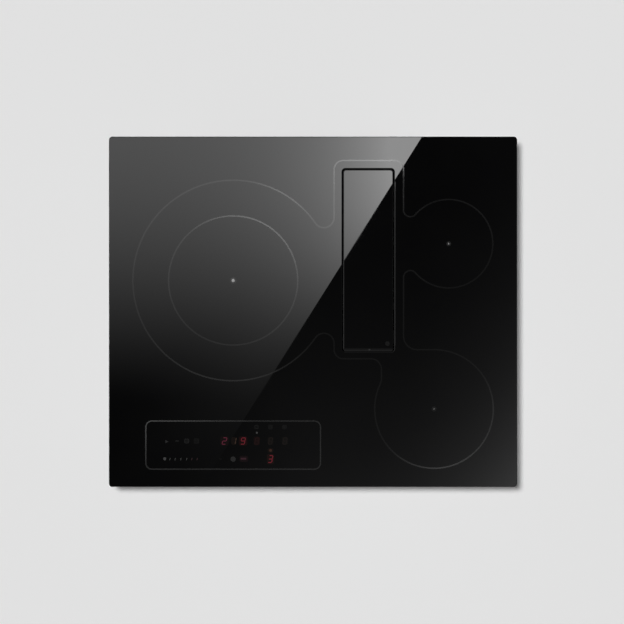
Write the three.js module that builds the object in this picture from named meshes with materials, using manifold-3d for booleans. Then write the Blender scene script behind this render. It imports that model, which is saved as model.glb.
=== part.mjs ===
// Downdraft induction cooktop: a black glass hob with three cooking zones, a glass flap over the
// extraction well, and the extraction blower in a casing below. Millimetres, +Z up, +X right,
// +Y to the rear. The origin is the middle of the footprint on the underside of the casing.

import * as THREE from "three";
import { mergeVertices } from "three/addons/utils/BufferGeometryUtils.js";
import Module from "manifold-3d";

const wasm = await Module();
wasm.setup();

// ---- Driving dimensions --------------------------------------------------------------------

const GAP = 0.3; // running gap between pieces that seat on or pass each other

// Glass top
const glassWidth = 600;
const glassDepth = 515;
const glassThick = 4;
const glassCorner = 5;
const glassBevel = 0.8; // the polished edge, seen from above
const glassBevelDrop = 0.4; // and how far it falls
const overallHeight = 210;

// Cooking zones: how far each centre lies from the glass's edges, and the printed radius
const leftZoneFromLeft = 182.6;
const leftZoneFromRear = 211.5;
const rearZoneFromRight = 100.6;
const rearZoneFromRear = 157.4;
const frontZoneFromRight = 122.1;
const frontZoneFromFront = 114.6;
const leftOuterRadius = 147.4;
const leftInnerRadius = 94.9;
const rearRadius = 65;
const frontRadius = 87.6;

// Extraction opening and its flap
const ventFromRight = 218.8;
const ventFromRear = 181.8;
const ventWidth = 77;
const ventDepth = 270;
const ventCorner = 5;
const flapGap = 2.2;
const flapFrontGap = 0.5; // the flap turns about its left edge, so its front can lie close
const flapCarrierThick = 3;
const flapCarrierInset = 2;
const flapCarrierBand = 12;
const flapAxisInset = 10;
const flapAxisDrop = 6.5;
const flapPinRadius = 1.8;
const flapGripReach = 5.3; // the flap's front edge is ground down as a finger grip
const flapGripDrop = 1.8;
const flapGripStart = 0.77; // slope where the grip begins, as a share of its mean slope
const flapGripFacets = 3;

// Rim seal
const sealInset = 3;
const sealWidth = 9;
const sealThick = 2;

// Hob tray
const rimSides = 22; // how far the glass stands past the tray at its sides
const rimEnds = 14.5; // and at its front and rear
const trayHeight = 58;
const trayWall = 1.2;
const trayLip = 10;
const trayCorner = 8;

// Filter well
const wellClear = 1;
const wellWall = 2.5;
const wellReach = 28; // below the tray
const wellFlange = 6;
const wellFlangeThick = 2;
const wellCollar = 5;
const wellCollarThick = 3;
const wellLedge = 6;
const wellLedgeThick = 3;

// Grease filter
const filterClear = 2.5;
const filterHeight = 40;
const filterTopDrop = 24; // from the top of the glass to the top edge of the filter
const filterWall = 1.4;
const filterSlots = 9;
const filterRib = 5;
const filterHandleWidth = 14;
const filterHandleThick = 4;

// Push latch
const latchLength = 20;
const latchWidth = 12;
const latchHeight = 7;
const latchFromFront = 13;
const plungerRadius = 2.2;
const plungerBelow = 1.5; // how far the plunger's foot stands above the latch body's underside
const stopLength = 10;
const stopReach = 10;
const stopThick = 3.5;

// Coil stacks, from the glass down
const insulationThick = 2;
const coilThick = 6;
const coilCarrierThick = 3;
const coilEdgeInset = 4;
const coilHoleRadius = 18;
const coilRingGap = 6;
const sensorRadius = 5;
const legRadius = 3.5;

// Electronics
const boardThick = 1.6;
const boardLift = 6;
const standoffRadius = 4;
const leftBoardShiftX = 17.4; // from the left zone's centre
const leftBoardShiftY = -16;
const leftBoardWidth = 150;
const leftBoardDepth = 180;
const rightBoardShiftY = 11.9; // from the rear zone's centre
const rightBoardWidth = 96;
const rightBoardDepth = 160;
const sinkWidth = 48;
const sinkDepth = 120;
const sinkHeight = 26;
const sinkBase = 4;
const sinkFins = 7;
const sinkFinThick = 1.6;
const fanSize = 80;
const fanHeight = 25;
const fanBore = 37;
const fanRotorRadius = 35;
const fanHubRadius = 14;
const fanBladeThick = 1.5;
const fanBlades = 7;
const fanStrut = 5;
const leftFanFromWall = 50;
const leftFanShiftY = -26; // from the left zone's centre
const rightFanFromWall = 66;
const fanSpindle = 2;

// Touch control behind the front of the glass
const panelFromFront = 61.5;
const panelWidth = 256.7;
const panelDepth = 70.8;
const panelFrameThick = 8;
const panelFrameWall = 3;
const panelBoardInset = 6;
const displayWidth = 100;
const displayDepth = 50;
const displayShift = 20;
const displayHeight = 7;

// Lower casing
const casingPastLeftZone = 64.6; // from the left zone's centre to the casing's left wall
const casingPastVent = 55.9; // from the vent's centre to the right wall
const casingBeforeVent = 167.7; // and to the front wall
const casingFromRear = 25.5; // from the glass's rear edge to the rear wall
const casingWall = 2.5;
const casingCorner = 5;
const earSize = 14;
const earThick = 4;
const earInset = 26;

// Blower
const blowerShiftX = 33.4; // from the left zone's centre
const blowerShiftY = -6;
const scrollLift = 12;
const scrollHeight = 92;
const scrollWall = 2;
const scrollStartRadius = 73;
const scrollEndRadius = 92;
const scrollTongueAngle = 60;
const outletWidth = 216;
const scrollFootRadius = 6;
const inletRadius = 50;
const inletLip = 6;
const impellerRadius = 67;
const impellerBladeDepth = 13;
const impellerBlades = 22;
const impellerPlate = 2;
const impellerRunning = 4;
const motorRadius = 30;
const motorHeight = 36;
const motorShaftRadius = 4;
const motorShaftLength = 6;
const impellerCupClear = 3;

// Rear duct spigot
const spigotWall = 2;
const spigotFlange = 8;
const spigotFlangeThick = 2.5;
const spigotLength = 22;

// Odour filter
const odourThick = 18;
const odourFromWell = 8;
const odourFromFront = 32;
const odourFromRear = 82;
const odourTop = 8; // below the tray
const odourColumns = 8;
const odourRows = 3;
const odourRib = 4;

// Drip drawer
const drawerWall = 2;
const drawerHeight = 25;
const drawerClear = 1;
const drawerFaceThick = 4;
const drawerFaceMargin = 6;
const drawerGripDepth = 8;

// Blower control box
const controlBoxShiftX = -11; // from the blower's axis
const controlBoxFromFront = 22;
const controlBoxWidth = 110;
const controlBoxDepth = 34;
const controlBoxHeight = 38;

// Mains terminal box
const terminalFromLeft = 42; // from the tray's walls to the box's middle
const terminalFromRear = 55;
const terminalWidth = 70;
const terminalDepth = 74;
const terminalHeight = 36;
const terminalWall = 2;
const terminalLid = 2;
const glandRadius = 9;
const glandBore = 5;
const glandLength = 14;

// Side clamps
const clampWidth = 30;
const clampHeight = 34;
const clampThick = 1;
const clampBulge = 7;
const clampDrop = 8; // below the glass
const clampFromEnd = 93;
const screwRadius = 1.8;
const screwHeadRadius = 3.6;
const screwHeadThick = 2;
const screwLength = 8;

// ---- Places and levels worked out from the driving dimensions --------------------------------

const trayWidth = glassWidth - 2 * rimSides;
const trayDepth = glassDepth - 2 * rimEnds;
const leftZone = { x: -glassWidth / 2 + leftZoneFromLeft, y: glassDepth / 2 - leftZoneFromRear };
const rearZone = { x: glassWidth / 2 - rearZoneFromRight, y: glassDepth / 2 - rearZoneFromRear };
const frontZone = { x: glassWidth / 2 - frontZoneFromRight, y: -glassDepth / 2 + frontZoneFromFront };
const ventX = glassWidth / 2 - ventFromRight;
const ventY = glassDepth / 2 - ventFromRear;
const panelX = leftZone.x;
const panelY = -glassDepth / 2 + panelFromFront;
const leftBoard = { x: leftZone.x + leftBoardShiftX, y: leftZone.y + leftBoardShiftY };
const rightBoard = { x: rearZone.x, y: rearZone.y + rightBoardShiftY };
const leftFan = { x: -trayWidth / 2 + leftFanFromWall, y: leftZone.y + leftFanShiftY };
const rightFan = { x: trayWidth / 2 - rightFanFromWall, y: (rearZone.y + frontZone.y) / 2 };
const casingLeft = leftZone.x - casingPastLeftZone;
const casingRight = ventX + casingPastVent;
const casingFront = ventY - casingBeforeVent;
const casingRear = glassDepth / 2 - casingFromRear;
const blowerX = leftZone.x + blowerShiftX;
const blowerY = leftZone.y + blowerShiftY;
const outletLeft = blowerX - scrollEndRadius;
const outletRight = outletLeft + outletWidth;
const odourFront = casingFront + odourFromFront;
const odourRear = casingRear - odourFromRear;
const controlBoxX = blowerX + controlBoxShiftX;
const controlBoxY = casingFront + controlBoxFromFront;
const terminalX = -trayWidth / 2 + terminalFromLeft;
const terminalY = trayDepth / 2 - terminalFromRear;
const clampY = trayDepth / 2 - clampFromEnd;
const glassTop = overallHeight;
const glassUnder = glassTop - glassThick;
const trayUnder = glassUnder - trayHeight;
const trayFloor = trayUnder + trayWall;
const flapWidth = ventWidth - 2 * flapGap;
const flapDepth = ventDepth - flapGap - flapFrontGap;
const flapY = ventY - ventDepth / 2 + flapFrontGap + flapDepth / 2;
const wellInnerWidth = ventWidth + 2 * wellClear;
const wellInnerDepth = ventDepth + 2 * wellClear;
const wellOuterWidth = wellInnerWidth + 2 * wellWall;
const wellOuterDepth = wellInnerDepth + 2 * wellWall;
const gasketThick = sealThick;
const wellTop = glassUnder - gasketThick;
const flapAxisX = ventX - flapWidth / 2 + flapAxisInset;
const flapAxisZ = glassTop - flapAxisDrop;
const filterTop = glassTop - filterTopDrop;
const filterBottom = filterTop - filterHeight;
const filterWidth = wellInnerWidth - 2 * filterClear;
const filterDepth = wellInnerDepth - 2 * filterClear;
const coilTop = glassUnder - insulationThick;
const coilUnder = coilTop - coilThick;
const carrierUnder = coilUnder - coilCarrierThick;
const scrollTop = scrollLift + scrollHeight;

// ---- Geometry helpers ----------------------------------------------------------------------

function toSolid(geometry) {
  const bare = geometry.clone();
  bare.deleteAttribute("normal");
  bare.deleteAttribute("uv");
  const merged = mergeVertices(bare, 1e-4);
  return new wasm.Manifold(
    new wasm.Mesh({
      numProp: 3,
      vertProperties: new Float32Array(merged.attributes.position.array),
      triVerts: new Uint32Array(merged.index.array),
    }),
  );
}

function toGeometry(solid) {
  const mesh = solid.getMesh();
  const points = new Float32Array(mesh.numVert * 3);
  for (let i = 0; i < mesh.numVert; i++) {
    points.set(mesh.vertProperties.subarray(i * mesh.numProp, i * mesh.numProp + 3), i * 3);
  }
  const indexed = new THREE.BufferGeometry()
    .setAttribute("position", new THREE.BufferAttribute(points, 3))
    .setIndex(new THREE.BufferAttribute(mesh.triVerts, 1));
  const flat = indexed.toNonIndexed();
  flat.computeVertexNormals();
  return flat;
}

function join(...geometries) {
  return toGeometry(geometries.map(toSolid).reduce((whole, piece) => whole.add(piece)));
}

function cut(geometry, ...cutters) {
  return toGeometry(cutters.map(toSolid).reduce((rest, piece) => rest.subtract(piece), toSolid(geometry)));
}

function keepInside(geometry, limit) {
  return toGeometry(toSolid(geometry).intersect(toSolid(limit)));
}

// A box between two corners.
function block(x0, x1, y0, y1, z0, z1) {
  const box = new THREE.BoxGeometry(x1 - x0, y1 - y0, z1 - z0);
  return box.translate((x0 + x1) / 2, (y0 + y1) / 2, (z0 + z1) / 2);
}

function slab(shape, z0, z1, curveSegments = 4) {
  const made = new THREE.ExtrudeGeometry(shape, {
    depth: z1 - z0,
    bevelEnabled: false,
    curveSegments,
  });
  return made.translate(0, 0, z0);
}

function roundedOutline(path, x, y, width, depth, corner) {
  const r = Math.min(corner, width / 2.01, depth / 2.01);
  const [x0, x1, y0, y1] = [x - width / 2, x + width / 2, y - depth / 2, y + depth / 2];
  path.moveTo(x0 + r, y0);
  path.lineTo(x1 - r, y0);
  path.absarc(x1 - r, y0 + r, r, -Math.PI / 2, 0, false);
  path.lineTo(x1, y1 - r);
  path.absarc(x1 - r, y1 - r, r, 0, Math.PI / 2, false);
  path.lineTo(x0 + r, y1);
  path.absarc(x0 + r, y1 - r, r, Math.PI / 2, Math.PI, false);
  path.lineTo(x0, y0 + r);
  path.absarc(x0 + r, y0 + r, r, Math.PI, 1.5 * Math.PI, false);
  return path;
}

function roundedSlab(x, y, width, depth, corner, z0, z1) {
  return slab(roundedOutline(new THREE.Shape(), x, y, width, depth, corner), z0, z1);
}

// A rounded rectangular frame: an outer outline with the inner one as its hole.
function roundedFrame(x, y, width, depth, band, corner, z0, z1) {
  const shape = roundedOutline(new THREE.Shape(), x, y, width, depth, corner);
  const hole = new THREE.Path();
  roundedOutline(hole, x, y, width - 2 * band, depth - 2 * band, Math.max(corner - band, 1));
  shape.holes.push(hole);
  return slab(shape, z0, z1);
}

function disc(x, y, radius, z0, z1, sides = 28) {
  const made = new THREE.CylinderGeometry(radius, radius, z1 - z0, sides);
  return made.rotateX(Math.PI / 2).translate(x, y, (z0 + z1) / 2);
}

function rod(x, y, z, radius, length, direction, sides = 10) {
  const made = new THREE.CylinderGeometry(radius, radius, length, sides);
  if (direction === "x") made.rotateZ(Math.PI / 2);
  return made.translate(x, y, z);
}

// A prism that runs along X, from its section in Y and Z.
function wedgeAcross(profile, x0, length) {
  const shape = new THREE.Shape(profile.map(([y, z]) => new THREE.Vector2(y, z)));
  const made = new THREE.ExtrudeGeometry(shape, { depth: length, bevelEnabled: false });
  const turn = new THREE.Matrix4().makeBasis(
    new THREE.Vector3(0, 1, 0),
    new THREE.Vector3(0, 0, 1),
    new THREE.Vector3(1, 0, 0),
  );
  return made.applyMatrix4(turn).translate(x0, 0, 0);
}

// A ring with a rectangular section, turned about the vertical axis.
function ring(x, y, inner, outer, z0, z1, sides = 32) {
  const profile = [
    [inner, z0],
    [outer, z0],
    [outer, z1],
    [inner, z1],
    [inner, z0],
  ];
  return lathe(profile, sides).translate(x, y, 0);
}

function lathe(profile, sides) {
  const points = profile.map(([radius, z]) => new THREE.Vector2(radius, z));
  return new THREE.LatheGeometry(points, sides).rotateX(Math.PI / 2);
}

// ---- Finishes ------------------------------------------------------------------------------

function finish(color, roughness, metalness) {
  return new THREE.MeshStandardMaterial({ color, roughness, metalness });
}

const finishes = {
  blackGlass: finish(0x0a0a0b, 0.05, 0),
  zincSheet: finish(0xa9adb0, 0.4, 1),
  steelSheet: finish(0xb9bbbd, 0.35, 1),
  meshSteel: finish(0xc2c4c6, 0.3, 1),
  blackPlastic: finish(0x17181a, 0.55, 0),
  greyPlastic: finish(0x3b3d40, 0.6, 0),
  foam: finish(0x1c1c1c, 0.95, 0),
  rubber: finish(0x141414, 0.9, 0),
  copperWinding: finish(0xa4562b, 0.5, 0.6),
  mica: finish(0xcfc8b4, 0.8, 0),
  aluminium: finish(0xc9ccd0, 0.35, 1),
  circuit: finish(0x1d5a34, 0.6, 0),
  display: finish(0x2a0606, 0.3, 0),
  carbon: finish(0x232323, 0.95, 0),
  motorCase: finish(0x8d9195, 0.4, 1),
};

const cooktop = new THREE.Group();

function add(name, geometry, material, parent = cooktop) {
  const mesh = new THREE.Mesh(geometry, material);
  mesh.name = name;
  parent.add(mesh);
  return mesh;
}

// ---- Glass top, flap and seals -------------------------------------------------------------

// A flat sheet with its upper edge bevelled all round, as a ground glass edge is.
function bevelledSheet(x, y, width, depth, corner, bevel, drop, z0, z1) {
  const shape = roundedOutline(
    new THREE.Shape(),
    x,
    y,
    width - 2 * bevel,
    depth - 2 * bevel,
    Math.max(corner - bevel, 1),
  );
  const made = new THREE.ExtrudeGeometry(shape, {
    depth: z1 - z0 - drop,
    bevelEnabled: true,
    bevelThickness: drop,
    bevelSize: bevel,
    bevelSegments: 1,
    curveSegments: 4,
  });
  const keep = block(x - width, x + width, y - depth, y + depth, z0, z1 + 1);
  return keepInside(made.translate(0, 0, z0), keep);
}

// What a hole with a bevelled upper edge takes out of a sheet.
function flaredHole(x, y, width, depth, corner, bevel, drop, z0, z1) {
  const shape = roundedOutline(new THREE.Shape(), x, y, width, depth, corner);
  const flare = new THREE.ExtrudeGeometry(shape, {
    depth: 1,
    bevelEnabled: true,
    bevelThickness: drop,
    bevelSize: bevel,
    bevelSegments: 1,
    curveSegments: 4,
  });
  return join(flare.translate(0, 0, z1), roundedSlab(x, y, width, depth, corner, z0 - 1, z1 + 1));
}

function makeGlassTop() {
  const sheet = bevelledSheet(
    0, 0, glassWidth, glassDepth, glassCorner, glassBevel, glassBevelDrop, glassUnder, glassTop,
  );
  const opening = flaredHole(
    ventX, ventY, ventWidth, ventDepth, ventCorner, glassBevel, glassBevelDrop, glassUnder, glassTop,
  );
  add("glass_top", cut(sheet, opening), finishes.blackGlass);
}

function makeFlap() {
  const sheet = bevelledSheet(
    ventX, flapY, flapWidth, flapDepth, ventCorner - 1, glassBevel, glassBevelDrop,
    glassUnder, glassTop,
  );
  // The grip gets steeper towards the front edge.
  const frontEdge = flapY - flapDepth / 2;
  const gripProfile = [[frontEdge + flapGripReach, glassTop + 1]];
  for (let i = 0; i <= flapGripFacets; i++) {
    const t = i / flapGripFacets;
    const drop = flapGripDrop * (flapGripStart * t + (1 - flapGripStart) * t * t);
    gripProfile.push([frontEdge + flapGripReach * (1 - t), glassTop - drop]);
  }
  gripProfile.push([frontEdge - 1, glassTop - flapGripDrop], [frontEdge - 1, glassTop + 1]);
  const grip = wedgeAcross(gripProfile, ventX - flapWidth / 2 - 1, flapWidth + 2);
  add("flap_glass", cut(sheet, grip), finishes.blackGlass);

  const carrierUnderside = glassUnder - flapCarrierThick;
  const carrierDepth = ventDepth - 2 * (flapGap + flapCarrierInset);
  const frame = roundedFrame(
    ventX,
    ventY,
    flapWidth - 2 * flapCarrierInset,
    carrierDepth,
    flapCarrierBand,
    ventCorner - flapCarrierInset,
    carrierUnderside,
    glassUnder,
  );
  const pinEnd = wellInnerDepth / 2 + wellWall - 1;
  const pinStart = carrierDepth / 2 - flapCarrierBand;
  const pins = [-1, 1].map((side) =>
    rod(flapAxisX, ventY + (side * (pinStart + pinEnd)) / 2, flapAxisZ, flapPinRadius, pinEnd - pinStart, "y"),
  );
  add("flap_carrier", join(frame, ...pins), finishes.blackPlastic);
}

function makeSeals() {
  const rim = roundedFrame(
    0,
    0,
    glassWidth - 2 * sealInset,
    glassDepth - 2 * sealInset,
    sealWidth,
    glassCorner,
    glassUnder - sealThick,
    glassUnder,
  );
  add("rim_seal", rim, finishes.foam);

  const gasket = roundedFrame(
    ventX,
    ventY,
    wellOuterWidth + 2 * wellCollar,
    wellOuterDepth + 2 * wellCollar,
    wellCollar,
    ventCorner + wellCollar,
    wellTop,
    glassUnder,
  );
  add("vent_gasket", gasket, finishes.rubber);
}

// ---- Hob tray ------------------------------------------------------------------------------

function casingEars() {
  const xs = [casingLeft - earSize / 2, casingRight + earSize / 2];
  const ys = [casingFront + earInset, casingRear - earInset];
  return xs.flatMap((x) => ys.map((y) => ({ x, y })));
}

function clampPlaces() {
  return [-1, 1].flatMap((side) => [-1, 1].map((end) => ({ side, y: end * clampY })));
}

function ventSlots() {
  const slots = [];
  const slotCount = 8;
  const slotWidth = 5;
  const pitch = 14;
  const low = trayFloor + 12;
  const high = low + 22;
  for (let i = 0; i < slotCount; i++) {
    const along = (i - (slotCount - 1) / 2) * pitch;
    slots.push(
      block(along + leftZone.x - slotWidth / 2, along + leftZone.x + slotWidth / 2,
        trayDepth / 2 - trayWall - 1, trayDepth / 2 + 1, low, high),
      block(trayWidth / 2 - trayWall - 1, trayWidth / 2 + 1,
        along - slotWidth / 2, along + slotWidth / 2, low, high),
    );
  }
  return slots;
}

function boardStandoffs(board, width, depth) {
  const inset = standoffRadius + 2;
  return [-1, 1].flatMap((i) =>
    [-1, 1].map((j) =>
      disc(board.x + i * (width / 2 - inset), board.y + j * (depth / 2 - inset),
        standoffRadius, trayUnder + trayWall / 2, trayFloor + boardLift, 6),
    ),
  );
}

function makeTray() {
  const outer = roundedSlab(0, 0, trayWidth, trayDepth, trayCorner, trayUnder, glassUnder);
  const inner = roundedSlab(
    0, 0, trayWidth - 2 * trayWall, trayDepth - 2 * trayWall, trayCorner - trayWall,
    trayFloor, glassUnder - trayWall,
  );
  const mouth = roundedSlab(
    0, 0, trayWidth - 2 * trayLip, trayDepth - 2 * trayLip, trayCorner,
    glassUnder - 2 * trayWall, glassUnder + 1,
  );
  const wellHole = roundedSlab(
    ventX, ventY, wellOuterWidth + 2 * GAP, wellOuterDepth + 2 * GAP, ventCorner,
    trayUnder - 1, trayFloor + 1,
  );
  const intakes = [leftFan, rightFan].map((fan) =>
    disc(fan.x, fan.y, fanBore, trayUnder - 1, trayFloor + 1, 24),
  );
  const earHoles = casingEars().map(({ x, y }) =>
    disc(x, y, screwRadius + GAP, trayUnder - 1, trayFloor + 1, 8),
  );
  const clampHoles = clampPlaces().map(({ side, y }) =>
    rod((side * trayWidth) / 2, y, clampScrewZ, screwRadius + GAP, 4 * trayWall + 2, "x"),
  );
  const shell = cut(outer, inner, mouth, wellHole, ...intakes, ...earHoles, ...clampHoles, ...ventSlots());
  const standoffs = [
    ...boardStandoffs(leftBoard, leftBoardWidth, leftBoardDepth),
    ...boardStandoffs(rightBoard, rightBoardWidth, rightBoardDepth),
  ];
  add("hob_tray", join(shell, ...standoffs), finishes.zincSheet);
}

// ---- Filter well ---------------------------------------------------------------------------

const wellUnder = trayUnder - wellReach;

function makeWell() {
  const outer = roundedSlab(ventX, ventY, wellOuterWidth, wellOuterDepth, ventCorner + wellWall, wellUnder, wellTop);
  const flange = roundedSlab(
    ventX, ventY, wellOuterWidth + 2 * wellFlange, wellOuterDepth + 2 * wellFlange,
    ventCorner + wellFlange, trayFloor, trayFloor + wellFlangeThick,
  );
  const collar = roundedSlab(
    ventX, ventY, wellOuterWidth + 2 * wellCollar, wellOuterDepth + 2 * wellCollar,
    ventCorner + wellCollar, wellTop - wellCollarThick, wellTop,
  );
  const bore = roundedSlab(ventX, ventY, wellInnerWidth, wellInnerDepth, ventCorner, wellUnder - 1, wellTop + 1);
  const ledgeTop = filterBottom - GAP;
  const ledge = roundedFrame(
    ventX, ventY, wellInnerWidth + wellWall, wellInnerDepth + wellWall, wellLedge + wellWall / 2,
    ventCorner, ledgeTop - wellLedgeThick, ledgeTop,
  );
  const slotHalf = flapPinRadius + GAP;
  const slots = [-1, 1].flatMap((side) => {
    const y = ventY + side * (wellInnerDepth / 2 + wellWall / 2);
    return [
      rod(flapAxisX, y, flapAxisZ, slotHalf, wellWall + 1, "y"),
      block(flapAxisX - slotHalf, flapAxisX + slotHalf, y - wellWall / 2 - 0.5, y + wellWall / 2 + 0.5,
        flapAxisZ, wellTop + 1),
    ];
  });
  const wallX = ventX + wellInnerWidth / 2;
  const stopTop = glassUnder - flapCarrierThick - GAP;
  const stops = [-1, 1].map((side) => {
    const y = ventY + (side * wellInnerDepth) / 4;
    return block(wallX - stopReach, wallX + wellWall / 2, y - stopLength / 2, y + stopLength / 2,
      stopTop - stopThick, stopTop);
  });
  const tube = cut(join(outer, flange, collar), bore, ...slots);
  add("filter_well", join(tube, ledge, ...stops), finishes.blackPlastic);
}

function makeLatch() {
  const wallX = ventX + wellInnerWidth / 2;
  const front = ventY - wellInnerDepth / 2 + latchFromFront;
  const top = glassUnder - flapCarrierThick - GAP - 2;
  const body = block(wallX - latchWidth, wallX, front, front + latchLength, top - latchHeight, top);
  const plungerX = wallX - latchWidth / 2;
  const plungerY = front + latchLength / 2;
  const hole = disc(plungerX, plungerY, plungerRadius + GAP, top - latchHeight - 1, top + 1, 16);
  add("latch_body", cut(body, hole), finishes.blackPlastic);

  const foot = top - latchHeight + plungerBelow;
  const head = glassUnder - flapCarrierThick - GAP;
  add("latch_plunger", disc(plungerX, plungerY, plungerRadius, foot, head, 16), finishes.blackPlastic);
}

function makeGreaseFilter() {
  const shell = roundedSlab(ventX, ventY, filterWidth, filterDepth, ventCorner - 1, filterBottom, filterTop);
  const hollow = roundedSlab(
    ventX, ventY, filterWidth - 2 * filterWall, filterDepth - 2 * filterWall,
    ventCorner - 2, filterBottom + filterWall, filterTop + 1,
  );
  const pitch = (filterDepth - 2 * filterWall - filterRib) / filterSlots;
  const slotLength = (filterWidth - 2 * filterWall - 3 * filterRib) / 2;
  const slots = [];
  for (let i = 0; i < filterSlots; i++) {
    const y0 = ventY - filterDepth / 2 + filterWall + filterRib + i * pitch;
    for (const side of [-1, 1]) {
      const x = ventX + side * (filterRib / 2 + slotLength / 2);
      slots.push(block(x - slotLength / 2, x + slotLength / 2, y0, y0 + pitch - filterRib,
        filterBottom - 1, filterBottom + filterWall + 1));
    }
  }
  add("grease_filter", cut(shell, hollow, ...slots), finishes.meshSteel);

  const inside = filterWidth / 2 - filterWall - GAP;
  const barTop = filterTop - 3;
  const bar = block(ventX - inside, ventX + inside, ventY - filterHandleWidth / 2,
    ventY + filterHandleWidth / 2, barTop - filterHandleThick, barTop);
  const lugs = [-1, 1].map((side) => {
    const outerX = ventX + side * inside;
    const innerX = outerX - side * 2;
    return block(Math.min(outerX, innerX), Math.max(outerX, innerX), ventY - filterHandleWidth,
      ventY + filterHandleWidth, barTop - 3 * filterHandleThick, barTop);
  });
  add("filter_handle", join(bar, ...lugs), finishes.blackPlastic);
}

// ---- Coils ---------------------------------------------------------------------------------

const COIL_SIDES = 32;

// One zone's stack: carrier plate on legs, winding rings, insulation disc and sensor.
function makeCoilStack(name, zone, radius, windings, legs) {
  const stack = new THREE.Group();
  stack.position.set(zone.x, zone.y, 0);
  cooktop.add(stack);
  const plateRadius = radius - coilEdgeInset / 2;
  const plate = disc(0, 0, plateRadius, carrierUnder, coilUnder, COIL_SIDES);
  const posts = legs.map(([x, y]) => disc(x, y, legRadius, trayFloor, carrierUnder + 1, 8));
  add(name + "_coil_carrier", join(plate, ...posts), finishes.aluminium, stack);
  for (const [label, inner, outer] of windings) {
    add(label, ring(0, 0, inner, outer, coilUnder, coilTop, COIL_SIDES), finishes.copperWinding, stack);
  }
  const insulation = ring(0, 0, sensorRadius + 1, plateRadius, coilTop, glassUnder, COIL_SIDES);
  add(name + "_insulation", insulation, finishes.mica, stack);
  add(name + "_sensor", disc(0, 0, sensorRadius, coilUnder, glassUnder - GAP, 16), finishes.greyPlastic, stack);
}

function legCircle(radius, ...angles) {
  return angles.map((angle) => {
    const turn = THREE.MathUtils.degToRad(angle);
    return [radius * Math.cos(turn), radius * Math.sin(turn)];
  });
}

function makeCoils() {
  makeCoilStack(
    "left",
    leftZone,
    leftOuterRadius,
    [
      ["left_outer_coil", leftInnerRadius + coilRingGap, leftOuterRadius - coilEdgeInset],
      ["left_inner_coil", coilHoleRadius, leftInnerRadius - coilEdgeInset],
    ],
    legCircle(leftOuterRadius - 3 * coilEdgeInset, 100, 220, 335),
  );
  makeCoilStack(
    "rear",
    rearZone,
    rearRadius,
    [["rear_coil", coilHoleRadius, rearRadius - coilEdgeInset]],
    legCircle(rearRadius - 2 * coilEdgeInset, -16, 16, 164, 196),
  );
  makeCoilStack(
    "front",
    frontZone,
    frontRadius,
    [["front_coil", coilHoleRadius, frontRadius - coilEdgeInset]],
    legCircle(frontRadius - 3 * coilEdgeInset, 80, 200, 320),
  );
}

// ---- Power electronics and cooling fans ----------------------------------------------------

function makeGenerator(side, board, width, depth, sinkShift) {
  const z0 = trayFloor + boardLift;
  const z1 = z0 + boardThick;
  add(side + "_generator_board",
    block(board.x - width / 2, board.x + width / 2, board.y - depth / 2, board.y + depth / 2, z0, z1),
    finishes.circuit);

  const x = board.x + sinkShift;
  const y = board.y;
  const base = block(x - sinkWidth / 2, x + sinkWidth / 2, y - sinkDepth / 2, y + sinkDepth / 2, z1, z1 + sinkBase);
  const pitch = (sinkWidth - sinkFinThick) / (sinkFins - 1);
  const fins = [];
  for (let i = 0; i < sinkFins; i++) {
    const finX = x - sinkWidth / 2 + i * pitch;
    fins.push(block(finX, finX + sinkFinThick, y - sinkDepth / 2, y + sinkDepth / 2, z1, z1 + sinkHeight));
  }
  add(side + "_heatsink", join(base, ...fins), finishes.aluminium);
}

function makeCoolingFan(side, place) {
  const fan = new THREE.Group();
  fan.position.set(place.x, place.y, trayFloor);
  cooktop.add(fan);

  const half = fanSize / 2;
  const frame = cut(
    roundedSlab(0, 0, fanSize, fanSize, 5, 0, fanHeight),
    disc(0, 0, fanBore, -1, fanHeight + 1, 24),
  );
  const strutThick = 3;
  const struts = [
    block(-half + 2, half - 2, -fanStrut / 2, fanStrut / 2, fanHeight - strutThick, fanHeight),
    block(-fanStrut / 2, fanStrut / 2, -half + 2, half - 2, fanHeight - strutThick, fanHeight),
    disc(0, 0, fanHubRadius, fanHeight - strutThick, fanHeight, 16),
    disc(0, 0, fanSpindle, fanHeight - 2 * strutThick, fanHeight - 1, 10),
  ];
  add(side + "_fan_frame", join(frame, ...struts), finishes.blackPlastic, fan);

  const rotorTop = fanHeight - strutThick - 1.5;
  const rotorUnder = 2;
  const socketTop = fanHeight - 2 * strutThick - GAP;
  const hub = cut(
    disc(0, 0, fanHubRadius - 1, rotorUnder, rotorTop, 16),
    disc(0, 0, fanSpindle + GAP, socketTop, rotorTop + 1, 10),
  );
  const blades = [];
  for (let i = 0; i < fanBlades; i++) {
    const reach = fanRotorRadius - fanHubRadius + 4;
    const blade = new THREE.BoxGeometry(reach, fanBladeThick, rotorTop - rotorUnder - 3);
    blade.rotateX(THREE.MathUtils.degToRad(38));
    blade.translate(fanHubRadius - 4 + reach / 2, 0, (rotorTop + rotorUnder) / 2);
    blade.rotateZ((i * 2 * Math.PI) / fanBlades);
    blades.push(blade);
  }
  add(side + "_fan_rotor", join(hub, ...blades), finishes.greyPlastic, fan);
}

// ---- Touch control -------------------------------------------------------------------------

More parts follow.
